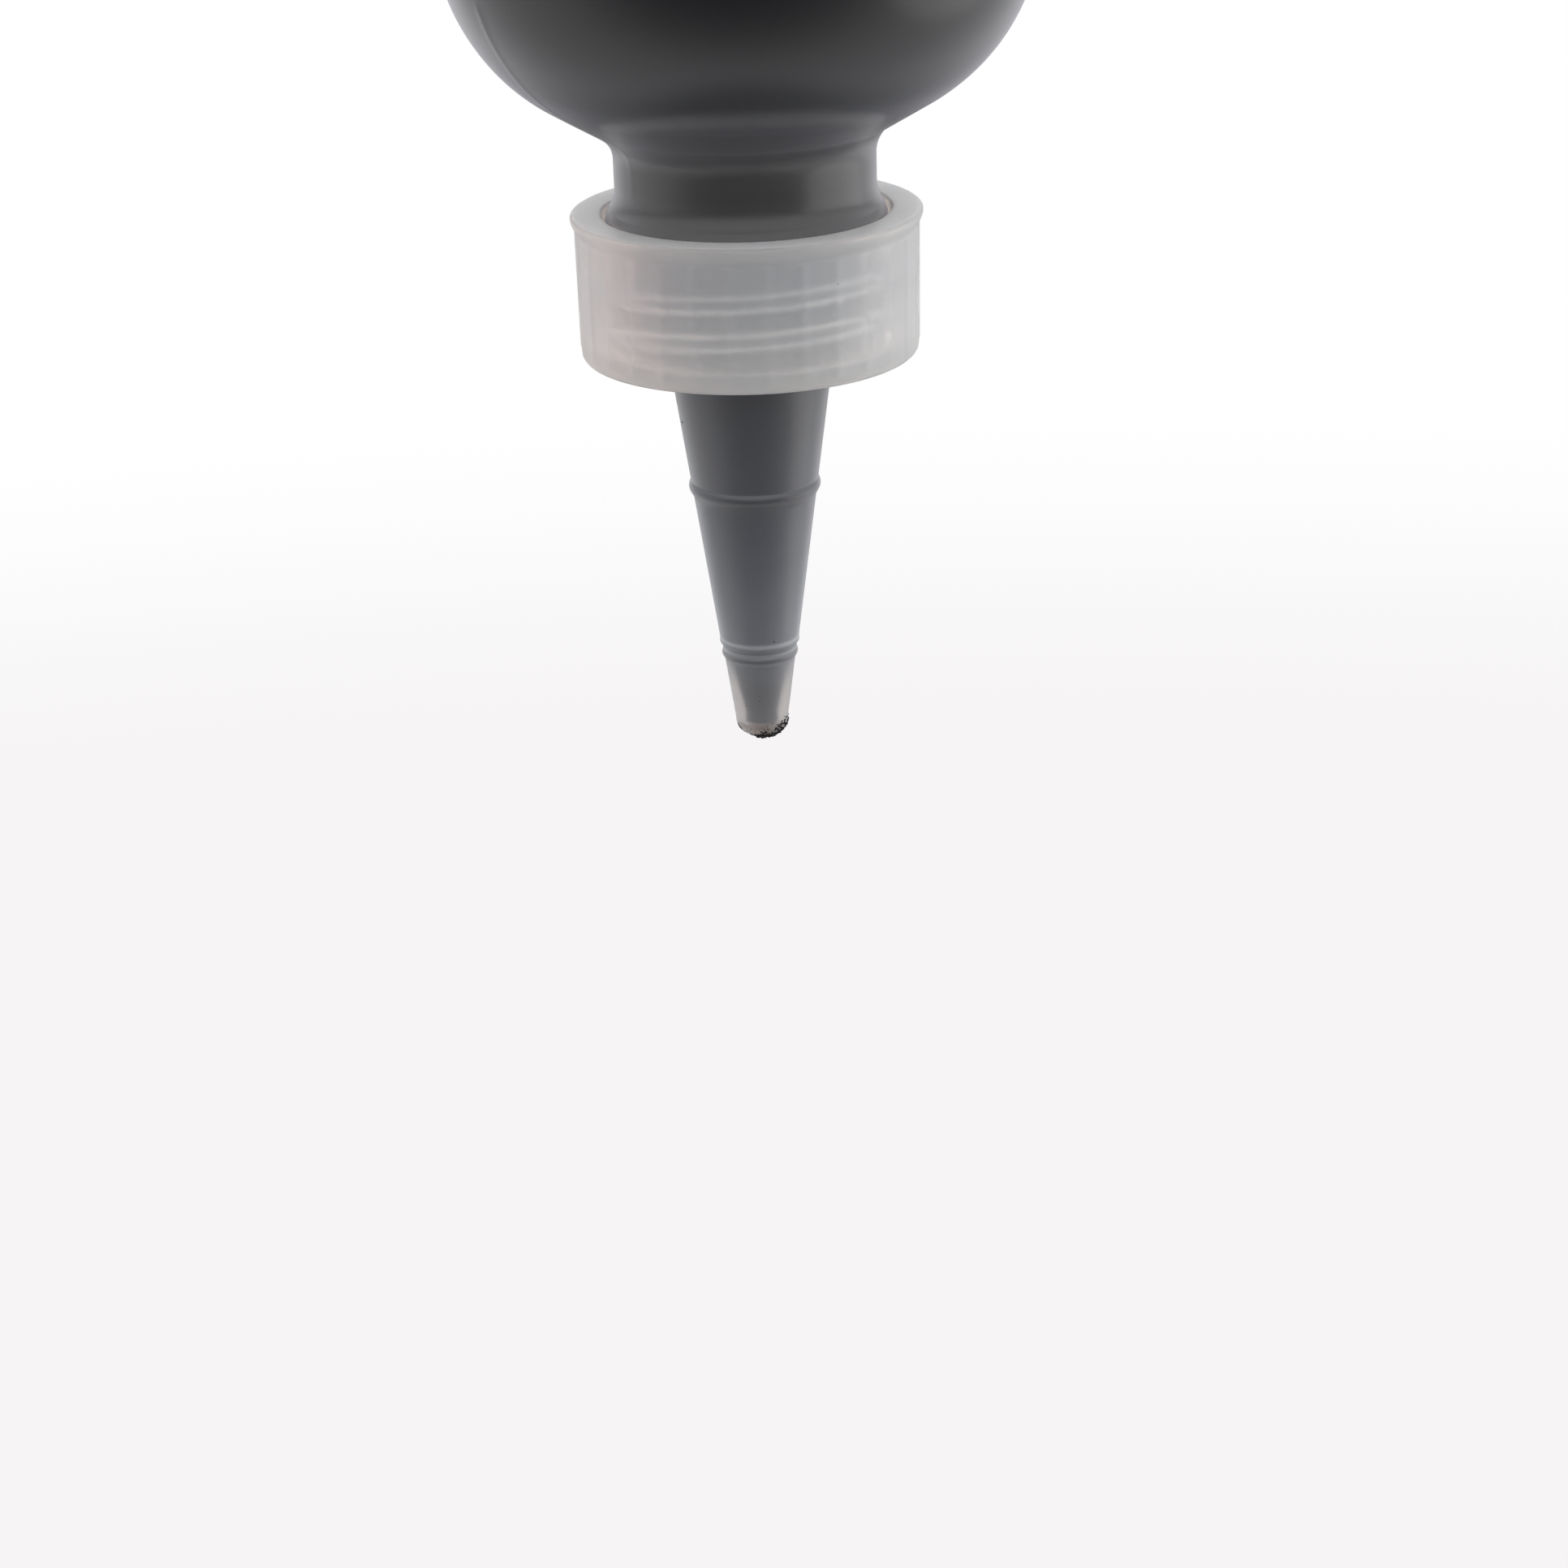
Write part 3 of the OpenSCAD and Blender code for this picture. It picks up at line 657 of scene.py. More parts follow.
def make_bottle(b, t):
    """The blow-moulded bottle, with its parting line, its thread and its slight unevenness."""
    thread_top = BOTTLE_HIGH.z - t.from_lip
    centre, _, _, meet = shoulder_places(b, 0, b.neck_r)
    corner_z = meet[1] - 0.6 * MM
    corner_reach = 5 * MM
    corner_blend, slope_blend = 1.5 * MM, 3 * MM
    foot_w = 2 * MM
    above_heel = 20 * MM
    widest = BOTTLE_HIGH.x - 0.5 * MM
    # The seam is lower on the shoulder's slope, and it has gone where the body is widest. The
    # corner is fullest at +X, on the seam's side, and a little flatter on the other side.
    slope_share = 0.65

    def shape(turn, radius, height, region):
        ridge = thread_ridge(turn, height, t, t.neck_turns, t.end_at, thread_top)
        moved = radius + np.where(region == RIDGED, ridge * t.depth, 0)
        near = np.exp(-((height - corner_z) / corner_reach) ** 2)
        lean = b.corner_lean * near * (0.6 * np.cos(turn) + 0.4)
        moved = moved + np.where((region != INNER) & (radius > b.neck_r), lean * smooth_step(
            (radius - b.neck_r) / corner_blend), 0)
        off_foot = smooth_step((radius - b.pushup_r - foot_w) / foot_w) + (height > above_heel)
        low = np.where(radius > widest, 0, 1 - slope_share * smooth_step(
            (height - corner_z) / slope_blend))
        seamed = (region == PLAIN) & (height < COLLAR_LOW.z - b.bead_flare)
        for side in BOTH_SIDES:
            away = np.abs((turn - b.seam_at - side + pi) % (2 * pi) - pi)
            seam = np.exp(-(away * radius / b.seam_half_w) ** 2)
            moved = moved + np.where(
                seamed, seam * b.seam_proud * np.clip(off_foot, 0, 1) * low, 0)
        return moved, height

    columns = seam_columns(b.seam_at, 240, b.seam_half_w / b.neck_r)
    piece = turned("bottle_shell", bottle_profile(b), columns, shape)
    points = corners_of(piece.data)
    around = np.hypot(points[:, 0], points[:, 1])
    # The waves only dent the wall, and they end before the neck and the foot ring.
    wave_scale, wave_seed = 17 * MM, 3
    neck_clear, neck_blend, foot_blend = 2 * MM, 6 * MM, 8 * MM
    wave = soft_waves(points, wave_scale, wave_seed) * 0.5 - 0.5
    body = smooth_step((around - b.neck_r - neck_clear) / neck_blend) * smooth_step(
        points[:, 2] / foot_blend)
    outer = around > BOTTLE_HIGH.x - b.body_wall / 2
    slope_part = (points[:, 2] > centre[1]) & (around > 0)
    push = b.waviness * wave * body * (outer | slope_part)
    points[:, :2] *= (1 + push / np.maximum(around, MM))[:, None]
    piece.data.vertices.foreach_set("co", points.ravel())
    piece.data.update()
    return piece


def collar_profile(c, bore_r):
    """Outline of the collar from the edge of its mouth, up the outside, and down the inside."""
    mouth, top = COLLAR_LOW.z, COLLAR_HIGH.z
    wall_r = bore_r + c.wall
    plate_z = top - c.plate_t
    rim_r = wall_r + c.rim_proud
    end_r = wall_r - c.draft
    soft = 0.18 * MM
    rim_edge_r = 0.32 * MM
    run_out = 1.2 * MM
    pen = Outline()
    pen.round(rim_r - rim_edge_r, mouth + rim_edge_r, rim_edge_r, -90, 0, 8)
    pen.through([(rim_r - c.rim_proud * float(smooth_step(i / 12)),
                  mouth + rim_edge_r + run_out * i / 12) for i in range(1, 13)])
    pen.region = RIDGED
    pen.to(end_r, top - c.edge_r, 72)
    pen.region = PLAIN
    pen.round(end_r - c.edge_r, top - c.edge_r, c.edge_r, 0, 90, 8)
    pen.to(c.hole_r + soft, top, 5)
    pen.round(c.hole_r + soft, top - soft, soft, 90, 180, 4)
    pen.to(c.hole_r, plate_z + soft, 3)
    pen.round(c.hole_r + soft, plate_z + soft, soft, 180, 270, 4)
    pen.to(bore_r - soft, plate_z, 5)
    pen.round(bore_r - soft, plate_z - soft, soft, 90, 0, 3)
    pen.region = INNER
    chamfer = c.mouth_chamfer
    pen.to(bore_r, mouth + chamfer, 84)
    pen.region = PLAIN
    pen.round(bore_r + chamfer, mouth + chamfer, chamfer, 180, 270, 5)
    pen.to(rim_r - 1.2 * rim_edge_r, mouth, 6)
    return pen.points


def make_collar(c, t, b):
    """The screw collar, with its ribs, its rim band and the thread in its bore."""
    bore_r = b.neck_r + t.depth + t.crest_gap
    plate_z = COLLAR_HIGH.z - c.plate_t
    neck_top = BOTTLE_HIGH.z - t.from_lip
    collar_top = plate_z - t.root_w / 2 - c.seat_gap
    flank_slope = (t.root_w - t.crest_w) / t.depth
    offset = t.root_w - flank_slope * (bore_r - b.neck_r) / 2 + t.flank_gap
    turned_to = t.end_at + (collar_top - neck_top + offset) * 2 * pi / t.pitch
    step = 2 * pi / c.rib_count
    wall_r = bore_r + c.wall
    rib_top = COLLAR_HIGH.z - c.edge_r
    rib_end = 0.35 * MM
    # The camera looks up through the wall, so a band shows this much nearer to the mouth.
    lean = 0.6 * MM

    def shape(turn, radius, height, region):
        across = np.abs((turn + step / 2) % step - step / 2)
        proud = c.rib_proud * smooth_step(1 - across * wall_r / c.rib_half_w)
        ends = smooth_step((rib_top - height) / rib_end) * smooth_step(
            (height - COLLAR_LOW.z - 0.5 * c.rim_h) / c.rim_h)
        ridge = thread_ridge(turn, height, t, t.collar_turns, turned_to, collar_top)
        moved = radius + np.where(region == RIDGED, proud * ends, 0)
        return moved - np.where(region == INNER, ridge * t.depth, 0), height

    columns = [step * (i + 0.5) / 12 for i in range(12 * c.rib_count)]
    piece = turned("screw_collar", collar_profile(c, bore_r), columns, shape, closed=True)
    points = corners_of(piece.data)
    bands = thread_ridge(np.arctan2(points[:, 1], points[:, 0]), points[:, 2] + lean, t,
                         t.collar_turns, turned_to, collar_top, pale_band)
    behind = piece.data.attributes.new(THREAD_BEHIND, "FLOAT", "POINT")
    behind.data.foreach_set("value", np.minimum(bands, 1))
    return piece


def cone_radius(n, at):
    """Radius of the nozzle's cone at a distance from the collar's end face."""
    return n.root_r + (n.end_r - n.root_r) * at / (NOZZLE_HIGH.z - COLLAR_HIGH.z)


def nozzle_outline(n, at):
    """Radius of the nozzle's outside at a distance from the collar's end face, with its beads."""
    whole = NOZZLE_HIGH.z - COLLAR_HIGH.z
    step_w = 0.25 * MM
    found = cone_radius(n, at) - n.tip_step * float(smooth_step((at - n.snap_bead_at) / step_w))
    second_at = n.snap_bead_at + n.snap_bead_step
    beads = (
        (n.root_bead_r + LIP_GAP, n.root_r + n.root_bead_proud, n.root_bead_r),
        (n.stop_bead_at, cone_radius(n, n.stop_bead_at) + n.stop_bead_proud, n.stop_bead_r),
        (n.snap_bead_at, cone_radius(n, n.snap_bead_at) + n.snap_bead_proud, n.snap_bead_r),
        (second_at, cone_radius(n, second_at) - n.tip_step + n.snap_lip_proud, n.snap_lip_r),
    )
    # A bead rises crisply on the collar's side, with a small fillet, and runs out gently
    # towards the tip, over run_out times the width that its round back would take.
    fillet = 0.04 * MM
    run_out = 1.3
    for place, crest, back in beads:
        inside = back ** 2 - (at - place) ** 2
        proud = crest - found
        run = run_out * sqrt(max(back ** 2 - (back - proud) ** 2, 0))
        if at < place and inside > 0:
            bead = crest - back + sqrt(inside)
            gap = abs(bead - found)
            found = max(found, bead) + max(0.0, fillet - gap) ** 2 / (4 * fillet)
        elif place <= at < place + run:
            found += proud * (1 - float(smooth_step((at - place) / run)))
    past_edge = at - (whole - n.tip_edge_r)
    if past_edge > 0:
        tip_r = cone_radius(n, whole - n.tip_edge_r) - n.tip_step
        found = min(found, tip_r - n.tip_edge_r
                    + sqrt(max(n.tip_edge_r ** 2 - past_edge ** 2, 0)))
    return found


def nozzle_profile(n):
    """Outline of the nozzle: plug skirt, flange, cone with its beads, tip and bore."""
    face, top, base = COLLAR_HIGH.z, NOZZLE_HIGH.z, NOZZLE_LOW.z
    flange_z = BOTTLE_HIGH.z + LIP_GAP
    flange_r = NOZZLE_HIGH.x
    skirt_r = n.plug_r - n.plug_wall
    soft = 0.2 * MM
    pen = Outline((skirt_r, base))
    pen.to(n.plug_r - soft, base, 2)
    pen.round(n.plug_r - soft, base + soft, soft, -90, 0, 4)
    pen.to(n.plug_r, flange_z, 3)
    pen.to(flange_r - soft, flange_z, 2)
    pen.round(flange_r - soft, flange_z + soft, soft, -90, 0, 4)
    pen.round(flange_r - soft, flange_z + n.flange_t - soft, soft, 0, 90, 4)
    pen.to(n.root_r, flange_z + n.flange_t, 3)
    pen.to(n.root_r, face, 3)
    # The cone takes every eighth of its fine steps, and all of them round the beads.
    fine = 0.07 * MM
    cone_len = top - face - n.tip_edge_r
    steps = int(cone_len / fine)
    reach = n.stop_bead_r
    bead_runs = ((0, 2 * n.root_bead_r + 0.3 * MM),
                 (n.stop_bead_at - reach, n.stop_bead_at + reach),
                 (n.snap_bead_at - reach, n.snap_bead_at + n.snap_bead_step + reach))
    places = [cone_len * i / steps for i in range(1, steps + 1)]
    pen.through([(nozzle_outline(n, at), face + at) for i, at in enumerate(places)
                 if i % 8 == 0 or any(start < at < end for start, end in bead_runs)])
    tip_r = nozzle_outline(n, cone_len)
    pen.round(tip_r - n.tip_edge_r, top - n.tip_edge_r, n.tip_edge_r, 4, 90, 12)
    pen.to(n.orifice_r + 0.5 * soft, top, 2)
    pen.round(n.orifice_r + 0.5 * soft, top - 0.5 * soft, 0.5 * soft, 90, 180, 3)
    pen.to(n.orifice_r, top - n.dust_end, 2)
    pen.to(n.orifice_r, top - n.orifice_len, 2)
    pen.to(n.bore_end_r, top - n.orifice_len - 0.1 * MM, 2)
    pen.to(n.root_r - n.cone_wall, face - BORE_FOOT, 30)
    pen.to(skirt_r, flange_z, 2)
    pen.to(skirt_r, base, 4)
    return pen.points[:-1]


def make_nozzle(n):
    """The nozzle, one smooth turned moulding."""
    columns = [2 * pi * i / 144 for i in range(144)]
    return turned("cone_nozzle", nozzle_profile(n), columns, closed=True)


def make_powder_core(n):
    """The powder that stands in the nozzle, up into the orifice's channel."""
    face, top = COLLAR_HIGH.z, NOZZLE_HIGH.z
    gap = 0.1 * MM
    low = NOZZLE_LOW.z + gap
    plug_r = n.plug_r - n.plug_wall - gap
    pen = Outline()
    pen.through([(0, low)])
    pen.to(plug_r, low, 6)
    pen.to(plug_r, BOTTLE_HIGH.z - gap, 8)
    pen.to(n.root_r - n.cone_wall - gap, face - BORE_FOOT, 3)
    pen.to(n.bore_end_r - gap, top - n.orifice_len - gap, 60)
    pen.to(n.orifice_r - gap, top - n.orifice_len, 2)
    pen.to(n.orifice_r - gap, top - n.dust_end - gap, 4)
    pen.to(0, top - n.dust_end - gap, 4)
    return turned("powder_core", pen.points, [2 * pi * i / 72 for i in range(72)])


def lump(points, faces, centre, radius, dice, flat=1.0, out=Vector((0, 0, 1))):
    """Add one angular grain: an icosahedron with uneven corners, pressed flat along out."""
    golden = (1 + sqrt(5)) / 2
    corners = [(-1, golden, 0), (1, golden, 0), (-1, -golden, 0), (1, -golden, 0),
               (0, -1, golden), (0, 1, golden), (0, -1, -golden), (0, 1, -golden),
               (golden, 0, -1), (golden, 0, 1), (-golden, 0, -1), (-golden, 0, 1)]
    sides = [(0, 11, 5), (0, 5, 1), (0, 1, 7), (0, 7, 10), (0, 10, 11), (1, 5, 9), (5, 11, 4),
             (11, 10, 2), (10, 7, 6), (7, 1, 8), (3, 9, 4), (3, 4, 2), (3, 2, 6), (3, 6, 8),
             (3, 8, 9), (4, 9, 5), (2, 4, 11), (6, 2, 10), (8, 6, 7), (9, 8, 1)]
    first = len(points)
    tilt = (Matrix.Rotation(dice.uniform(0, 2 * pi), 3, "Z")
            @ Matrix.Rotation(dice.uniform(0, pi), 3, "X"))
    for corner in corners:
        place = tilt @ Vector(corner).normalized() * radius * dice.uniform(0.6, 1.25)
        place -= out * place.dot(out) * (1 - flat)
        points.append(tuple(centre + place))
    faces.extend(tuple(first + i for i in side) for side in sides)


def tip_surface(n, theta, turn):
    """A point on the rounded tip and its outward direction; theta is 90 degrees on the end face,
    and below 0 it goes down the cone."""
    edge = NOZZLE_HIGH.z - n.tip_edge_r
    tip_r = cone_radius(n, edge - COLLAR_HIGH.z) - n.tip_step
    if theta < 0:
        drop = -theta * n.tip_edge_r
        r = tip_r + drop * (n.root_r - n.end_r) / (NOZZLE_HIGH.z - COLLAR_HIGH.z)
        z, out = edge - drop, Vector((cos(turn), sin(turn), 0.14))
    else:
        r = tip_r - n.tip_edge_r + n.tip_edge_r * cos(theta)
        z = edge + n.tip_edge_r * sin(theta)
        out = Vector((cos(theta) * cos(turn), cos(theta) * sin(turn), sin(theta)))
    return Vector((r * cos(turn), r * sin(turn), z)), out


def make_crust(p, n):
    """The crust of powder on the end of the tip, with loose grains that thin out round its edge."""
    dice = random.Random(p.seed)
    points, faces = [], []
    top = CRUST_HIGH.z
    rings, columns = 9, 36
    reach, flat_r, lump_scale = 1.55 * MM, 1.1 * MM, 0.28 * MM
    sunk = 0.02 * MM
    for i in range(rings + 1):
        for j in range(columns):
            turn = 2 * pi * j / columns
            r = reach * i / rings * (1 + 0.1 * sin(3 * turn + 1) + 0.06 * sin(7 * turn))
            rough = noise.noise(Vector((r * cos(turn), r * sin(turn), 0)) / lump_scale)
            theta = acos(min(1, max(0, (r - flat_r) / n.tip_edge_r)))
            base = NOZZLE_HIGH.z - n.tip_edge_r * (1 - sin(theta))
            z = base + p.crust_t * (0.55 + 0.5 * rough) * (1 - (i / rings) ** 4) - sunk
            points.append((r * cos(turn), r * sin(turn), min(z, top)))
    for i in range(rings):
        for j in range(columns):
            k = (j + 1) % columns
            faces.append((i * columns + j, (i + 1) * columns + j,
                          (i + 1) * columns + k, i * columns + k))
    # The grains reach furthest down the side at heavy_side, and lie thickest near the end face.
    heavy_side = radians(205)
    lump_faces = 20
    while p.grain_count * lump_faces > len(faces) - rings * columns:
        turn = dice.uniform(0, 2 * pi)
        theta = radians(dice.uniform(-65, 90))
        side = 0.5 + 0.5 * cos(turn - heavy_side)
        start = min(60.0, 75 - 120 * side ** 1.5)
        share = float(smooth_step((theta - radians(start)) / radians(45)))
        crowd = 1.0 if theta > radians(52) else 0.45
        stray = 0.12 if theta > 0 else 0
        if dice.random() > stray + crowd * share ** 2:
            continue
        place, out = tip_surface(n, theta, turn)
        radius = p.grain_r * dice.uniform(0.3, 1.05) * (0.5 + 0.7 * share)
        lump(points, faces, place + out * radius * 0.35, radius, dice, 0.8, out)
    # Coarse lumps on one side of the end, then fine dust on another: count, range of theta,
    # range of angle, range of radius in millimetres, how far they stand out, and flatness.
    for count, thetas, turns, radii, stand, flat in (
            (34, (56, 84), (210, 292), (0.12, 0.27), 0.3, 1.0),
            (90, (12, 70), (-30, 30), (0.04, 0.07), 0.0, 0.7)):
        for _ in range(count):
            place, out = tip_surface(
                n, radians(dice.uniform(*thetas)), radians(dice.uniform(*turns)))
            radius = dice.uniform(*radii) * MM
            lump(points, faces, place + out * radius * stand, radius, dice, flat, out)
    # Three lumps that make the crust's highest points: angle in radians, radius in millimetres.
    peak_r = 0.19 * MM
    for turn, r in ((3.4, 0.9), (1.2, 0.8), (2.2, 1.1)):
        place = Vector((r * MM * cos(turn), r * MM * sin(turn), top - peak_r))
        lump(points, faces, place, peak_r, dice)
    return linked_piece("tip_crust", [(x, y, min(z, top)) for x, y, z in points], faces)


def make_specks(name, places, dice):
    """A few single grains that cling to a surface: angle in degrees, then radius, height and the
    grain's own radius in millimetres."""
    points, faces = [], []
    for turn, r, height, size in places:
        out = Vector((cos(radians(turn)), sin(radians(turn)), 0))
        centre = out * r * MM + Vector((0, 0, height * MM))
        lump(points, faces, centre, size * MM, dice, 0.4, out)
    return linked_piece(name, points, faces)


class LUBE_OT_stage(bpy.types.Operator):
    """Set up the camera, the pale floor and the soft studio light"""
    bl_idname = "lube.stage"
    bl_label = "Stage"

    def execute(self, context):
        scene = context.scene
        scene.view_settings.view_transform = "Standard"
        add_camera(scene)
        add_floor()
        add_world(scene)
        add_lights(scene)
        return {"FINISHED"}


def add_camera(scene):
    """The camera at the photograph's viewing angle: it hangs below the collar, looks up and is
    rolled over, so that the bottle shows upside down as it is held in use."""
    distance = 283 * MM
    aside = 1.77 * MM
    below_mouth = 64.25 * MM
    pitch = radians(22.4)
    roll = radians(1.65)
    right = Vector((-1, 0, 0))
    up = Vector((0, sin(pitch), -cos(pitch)))
    forward = Vector((0, cos(pitch), sin(pitch)))
    image_right = right * cos(roll) - up * sin(roll)
    image_up = right * sin(roll) + up * cos(roll)
    data = bpy.data.cameras.new("photo_camera")
    data.sensor_width = 36
    focal_px = 4200
    frame_px = 1932
    data.lens = data.sensor_width * focal_px / frame_px
    data.clip_start = 0.01
    camera = bpy.data.objects.new("photo_camera", data)
    place = Vector((-aside, -distance, COLLAR_LOW.z - below_mouth))
    turn = Matrix((image_right, image_up, -forward)).transposed()
    camera.matrix_world = Matrix.Translation(place) @ turn.to_4x4()
    scene.collection.objects.link(camera)
    scene.camera = camera


def add_floor():
    """A plain pale floor: a large disc under the bottle, which fades into white far out."""
    size, steps = 3.0, 64
    rim = [(size * cos(2 * pi * i / steps), size * sin(2 * pi * i / steps), 0)
           for i in range(steps)]
    floor = linked_piece("studio_floor", rim, [tuple(range(steps))])
    material, tree, output = new_material("matt_white_paper")
    shader = node(tree, "ShaderNodeBsdfPrincipled",
                  {"Base Color": linear("#EDEDED"), "Roughness": 0.9, "Specular IOR Level": 0.2})
    place = node(tree, "ShaderNodeTexCoord").outputs["Object"]
    away = node(tree, "ShaderNodeVectorMath", None, {0: place}, operation="LENGTH")
    far = node(tree, "ShaderNodeMapRange", {"From Min": 0.12, "From Max": 0.75},
               {"Value": away.outputs["Value"]}, interpolation_type="SMOOTHSTEP")
    path = node(tree, "ShaderNodeLightPath")
    seen = node(tree, "ShaderNodeMath", None,
                {0: far.outputs["Result"], 1: path.outputs["Is Camera Ray"]}, operation="MULTIPLY")
    white = node(tree, "ShaderNodeEmission", {"Color": linear("#FFFFFF"), "Strength": 1.0})
    both = node(tree, "ShaderNodeMixShader", None,
                {0: seen.outputs["Value"], 1: shader.outputs["BSDF"], 2: white.outputs["Emission"]})
    tree.links.new(both.outputs["Shader"], output.inputs["Surface"])
    floor.data.materials.append(material)


def add_world(scene):
    """White all round, with a dark room in front of the object, a grey patch high above it and a
    dark one above and behind it, which the moulded walls mirror."""
    world = bpy.data.worlds.new("white_studio")
    world.use_nodes = True
    tree = world.node_tree
    tree.nodes.clear()
    place = node(tree, "ShaderNodeTexCoord").outputs["Generated"]

    def patch(axis, start, end, level, narrow=1.0):
        """1 away from an axis and level next to it, with a soft edge between two cosines; narrow
        above 1 makes it slimmer from side to side."""
        wide = node(tree, "ShaderNodeVectorMath", {1: (narrow, 1, 1)},
                    {0: place}, operation="MULTIPLY")
        unit = node(tree, "ShaderNodeVectorMath", None, {0: wide.outputs["Vector"]},
                    operation="NORMALIZE")
        toward = node(tree, "ShaderNodeVectorMath", {1: axis}, {0: unit.outputs["Vector"]},
                      operation="DOT_PRODUCT")
        return node(tree, "ShaderNodeMapRange",
                    {"From Min": start, "From Max": end, "To Min": 1.0, "To Max": level},
                    {"Value": toward.outputs["Value"]}, interpolation_type="SMOOTHSTEP")

    front = patch((0, -0.98, -0.2), 0.05, 0.85, 0.12)
    above = patch((0, 0.17, 0.985), 0.85, 0.98, 0.45, 1.4)
    behind = patch((0, 0.6, 0.8), 0.62, 0.93, 0.1, 1.6)
    share = front
    for other in (above, behind):
        share = node(tree, "ShaderNodeMath", None,
                     {0: share.outputs[0], 1: other.outputs["Result"]}, operation="MULTIPLY")
    room = node(tree, "ShaderNodeBackground", {"Color": linear("#FFFFFF")},
                {"Strength": share.outputs["Value"]})
    split = node(tree, "ShaderNodeSeparateXYZ", links={"Vector": place})
    height = node(tree, "ShaderNodeMapRange", {"From Min": 0.27, "From Max": 0.37},
                  {"Value": split.outputs["Z"]}, interpolation_type="SMOOTHSTEP")
    ramp = node(tree, "ShaderNodeValToRGB", links={"Fac": height.outputs["Result"]})
    ramp.color_ramp.elements[0].color = linear("#FFFFFF")
    ramp.color_ramp.elements[1].color = linear("#F6F4F5")
    seen = node(tree, "ShaderNodeBackground", {"Strength": 1.0}, {"Color": ramp.outputs["Color"]})
    path = node(tree, "ShaderNodeLightPath")
    clear = node(tree, "ShaderNodeMath", None,
                 {0: path.outputs["Is Camera Ray"], 1: path.outputs["Is Transmission Ray"]},
                 operation="MAXIMUM")
    either = node(tree, "ShaderNodeMixShader", None,
                  {0: clear.outputs["Value"], 1: room.outputs["Background"],
                   2: seen.outputs["Background"]})
    node(tree, "ShaderNodeOutputWorld", None, {"Surface": either.outputs["Shader"]})
    scene.world = world


def add_lights(scene):
    """A soft box at each side, the warm one for the collar only, and a low one that shines up."""
    neck = Vector((0, 0, COLLAR_LOW.z))
    for name, place, aim, size, energy, tint, mirrored in (
            ("side_box", (-0.89, -0.06, 0.1), neck, 1.2, 3.2, "#FFFFFF", True),
            ("warm_box", (0.85, 0.05, 0.05), neck, 0.9, 1.9, "#FFA080", False),
            ("low_box", (0, 0, 0.001), Vector((0, 0, 1)), 0.9, 1.3, "#FFFFFF", True)):
        data = bpy.data.lights.new(name, "AREA")
        data.shape = "DISK"
        data.size = size
        data.energy = energy
        data.color = linear(tint)[:3]
        box = bpy.data.objects.new(name, data)
        place = Vector(place)
        turn = (aim - place).to_track_quat("-Z", "Y").to_matrix().to_4x4()
        box.matrix_world = Matrix.Translation(place) @ turn
        box.visible_camera = False
        box.visible_glossy = mirrored
        scene.collection.objects.link(box)
        if name == "warm_box":
            box.light_linking.receiver_collection = bpy.data.collections.new(WARM_SIDE)


class LUBE_OT_bottle(bpy.types.Operator):
    """Make the blow-moulded bottle"""
    bl_idname = "lube.bottle"
    bl_label = "Bottle"

    def execute(self, context):
        scene = context.scene
        piece = make_bottle(scene.lube_bottle, scene.lube_thread)
        piece.data.materials.append(blow_moulded_ldpe(scene.lube_colours))
        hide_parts("bottle")
        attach(piece, "bottle")
        return {"FINISHED"}


class LUBE_OT_collar(bpy.types.Operator):
    """Make the ribbed screw collar"""
    bl_idname = "lube.collar"
    bl_label = "Collar"

    def execute(self, context):
        scene = context.scene
        piece = make_collar(scene.lube_collar, scene.lube_thread, scene.lube_bottle)
        colours = scene.lube_colours
        piece.data.materials.append(natural_polypropylene(
            colours, "injection_moulded_natural_polypropylene",
            clear_share=0.6, thread_share=0.55, depth_mm=1.4))
        piece.data.materials.append(polished_polypropylene(colours))
        piece.data.materials.append(natural_polypropylene(
            colours, "natural_polypropylene_mouth",
            clear_share=0.25, thread_share=0.25, depth_mm=1.0))
        bore_r = scene.lube_bottle.neck_r + scene.lube_thread.depth + scene.lube_thread.crest_gap
        slack = 0.01 * MM
        facing_down = -0.93
        for face in piece.data.polygons:
            middle = face.center
            inside = hypot(middle.x, middle.y) < bore_r + slack
            flat = face.normal.z < facing_down
            if flat and middle.z < COLLAR_LOW.z + scene.lube_collar.mouth_chamfer:
                face.material_index = MOUTH_SLOT
            elif inside and middle.z < COLLAR_HIGH.z - 0.5 * scene.lube_collar.plate_t:
                face.material_index = BORE_SLOT
        bpy.data.collections[WARM_SIDE].objects.link(piece)
        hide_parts("collar")
        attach(piece, "collar")
        return {"FINISHED"}


class LUBE_OT_nozzle(bpy.types.Operator):
    """Make the long conical nozzle"""
    bl_idname = "lube.nozzle"
    bl_label = "Nozzle"

    def execute(self, context):
        scene = context.scene
        piece = make_nozzle(scene.lube_nozzle)
        piece.data.materials.append(moulded_ldpe(scene.lube_colours, scene.lube_nozzle))
        piece.data.materials.append(dusty_bore())
        end_wall = NOZZLE_HIGH.z - scene.lube_nozzle.dust_end
        for face in piece.data.polygons:
            middle = face.center
            inward = middle.x * face.normal.x + middle.y * face.normal.y < 0
            if inward and middle.z < end_wall:
                face.material_index = BORE_SLOT
        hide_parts("nozzle")
        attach(piece, "nozzle")
        return {"FINISHED"}


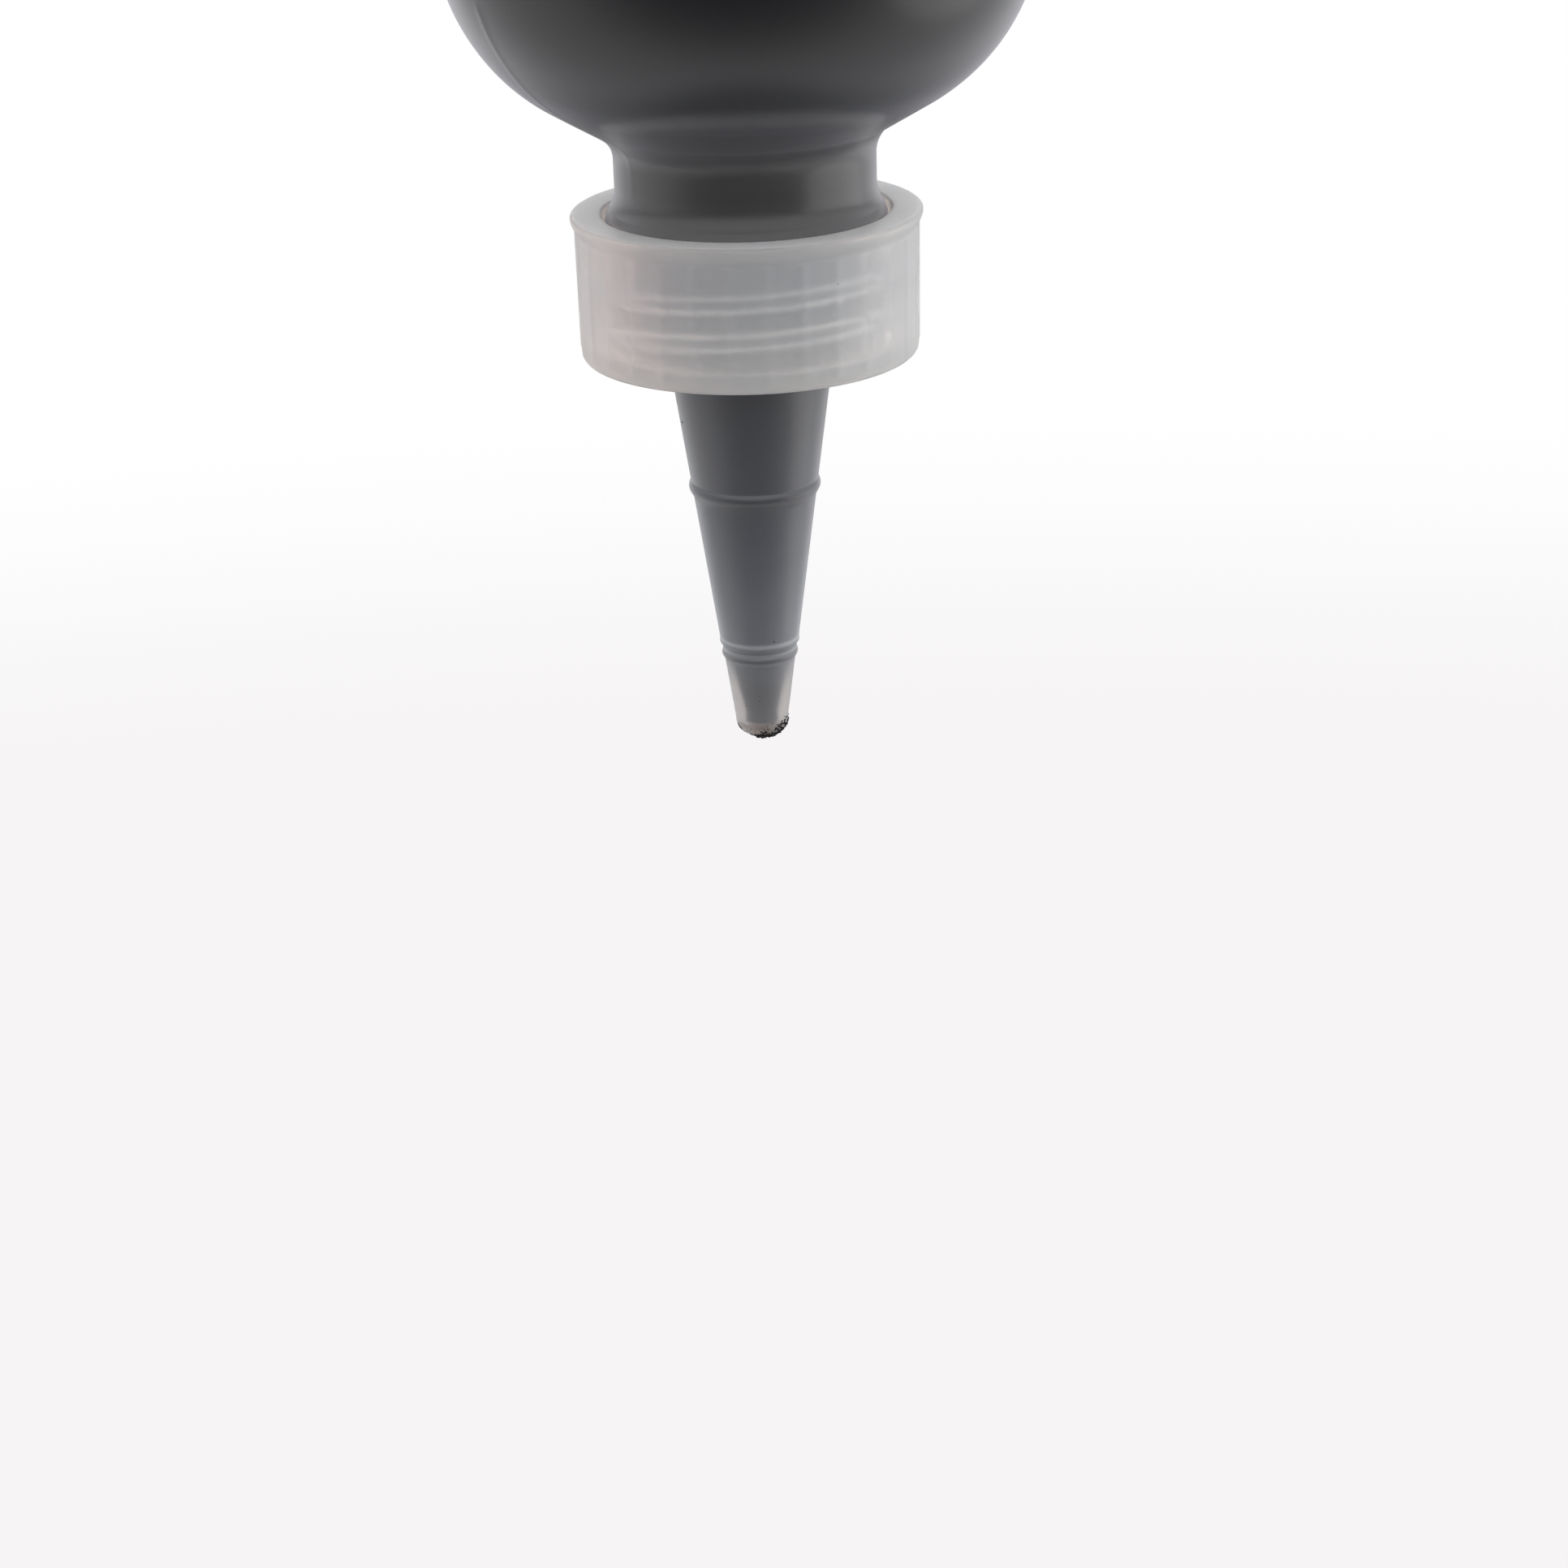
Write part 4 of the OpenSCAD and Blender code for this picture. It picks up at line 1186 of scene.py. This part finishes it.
class LUBE_OT_powder(bpy.types.Operator):
    """Give the powder inside its material and scatter the powder that clings to the outside"""
    bl_idname = "lube.powder"
    bl_label = "Powder"

    def execute(self, context):
        scene = context.scene
        material = graphite_powder(scene.lube_colours)
        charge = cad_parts["powder_charge"]
        charge.data.materials.clear()
        charge.data.materials.append(material)
        core = make_powder_core(scene.lube_nozzle)
        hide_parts("nozzle_powder")
        dice = random.Random(scene.lube_powder.seed)
        crust = make_crust(scene.lube_powder, scene.lube_nozzle)
        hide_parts("tip_powder")
        on_nozzle = make_specks("nozzle_specks", (
            (249.2, 3.53, 128.07, 0.09), (272.3, 2.8, 133.34, 0.06), (273.4, 2.73, 133.83, 0.05),
            (342, 6.31, 108.4, 0.12), (300, 2.72, 134.4, 0.05), (262, 2.6, 134.9, 0.05)), dice)
        on_collar = make_specks("collar_specks", (
            (302.2, 14.5, 90.58, 0.09), (240, 14.62, 94.1, 0.05)), dice)
        for piece, body in ((core, "nozzle"), (crust, "nozzle"), (on_nozzle, "nozzle"),
                            (on_collar, "collar")):
            piece.data.materials.append(material)
            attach(piece, body)
        return {"FINISHED"}


OPERATORS = (LUBE_OT_stage, LUBE_OT_bottle, LUBE_OT_collar, LUBE_OT_nozzle, LUBE_OT_powder)


class LUBE_PT_panel(bpy.types.Panel):
    """Buttons and sizes of the lubricant bottle"""
    bl_idname = "LUBE_PT_panel"
    bl_label = "Lubricant bottle"
    bl_space_type = "VIEW_3D"
    bl_region_type = "UI"
    bl_category = "Lubricant"

    def draw(self, context):
        for operator in OPERATORS:
            self.layout.operator(operator.bl_idname)
        for group in GROUPS:
            box = self.layout.box()
            for name in GROUPS[group].__annotations__:
                box.prop(getattr(context.scene, group), name)


def register():
    """Register the classes and hang the settings on the scene."""
    for kind in (*GROUPS.values(), *OPERATORS, LUBE_PT_panel):
        bpy.utils.register_class(kind)
    for name, kind in GROUPS.items():
        setattr(bpy.types.Scene, name, bpy.props.PointerProperty(type=kind))


def unregister():
    """Take the settings and the classes away again."""
    for name in GROUPS:
        delattr(bpy.types.Scene, name)
    for kind in (LUBE_PT_panel, *reversed(OPERATORS), *reversed(GROUPS.values())):
        bpy.utils.unregister_class(kind)


def main():
    """Build everything in order."""
    register()
    bpy.ops.lube.stage()
    bpy.ops.lube.bottle()
    bpy.ops.lube.collar()
    bpy.ops.lube.nozzle()
    bpy.ops.lube.powder()


if __name__ == "__main__":
    main()
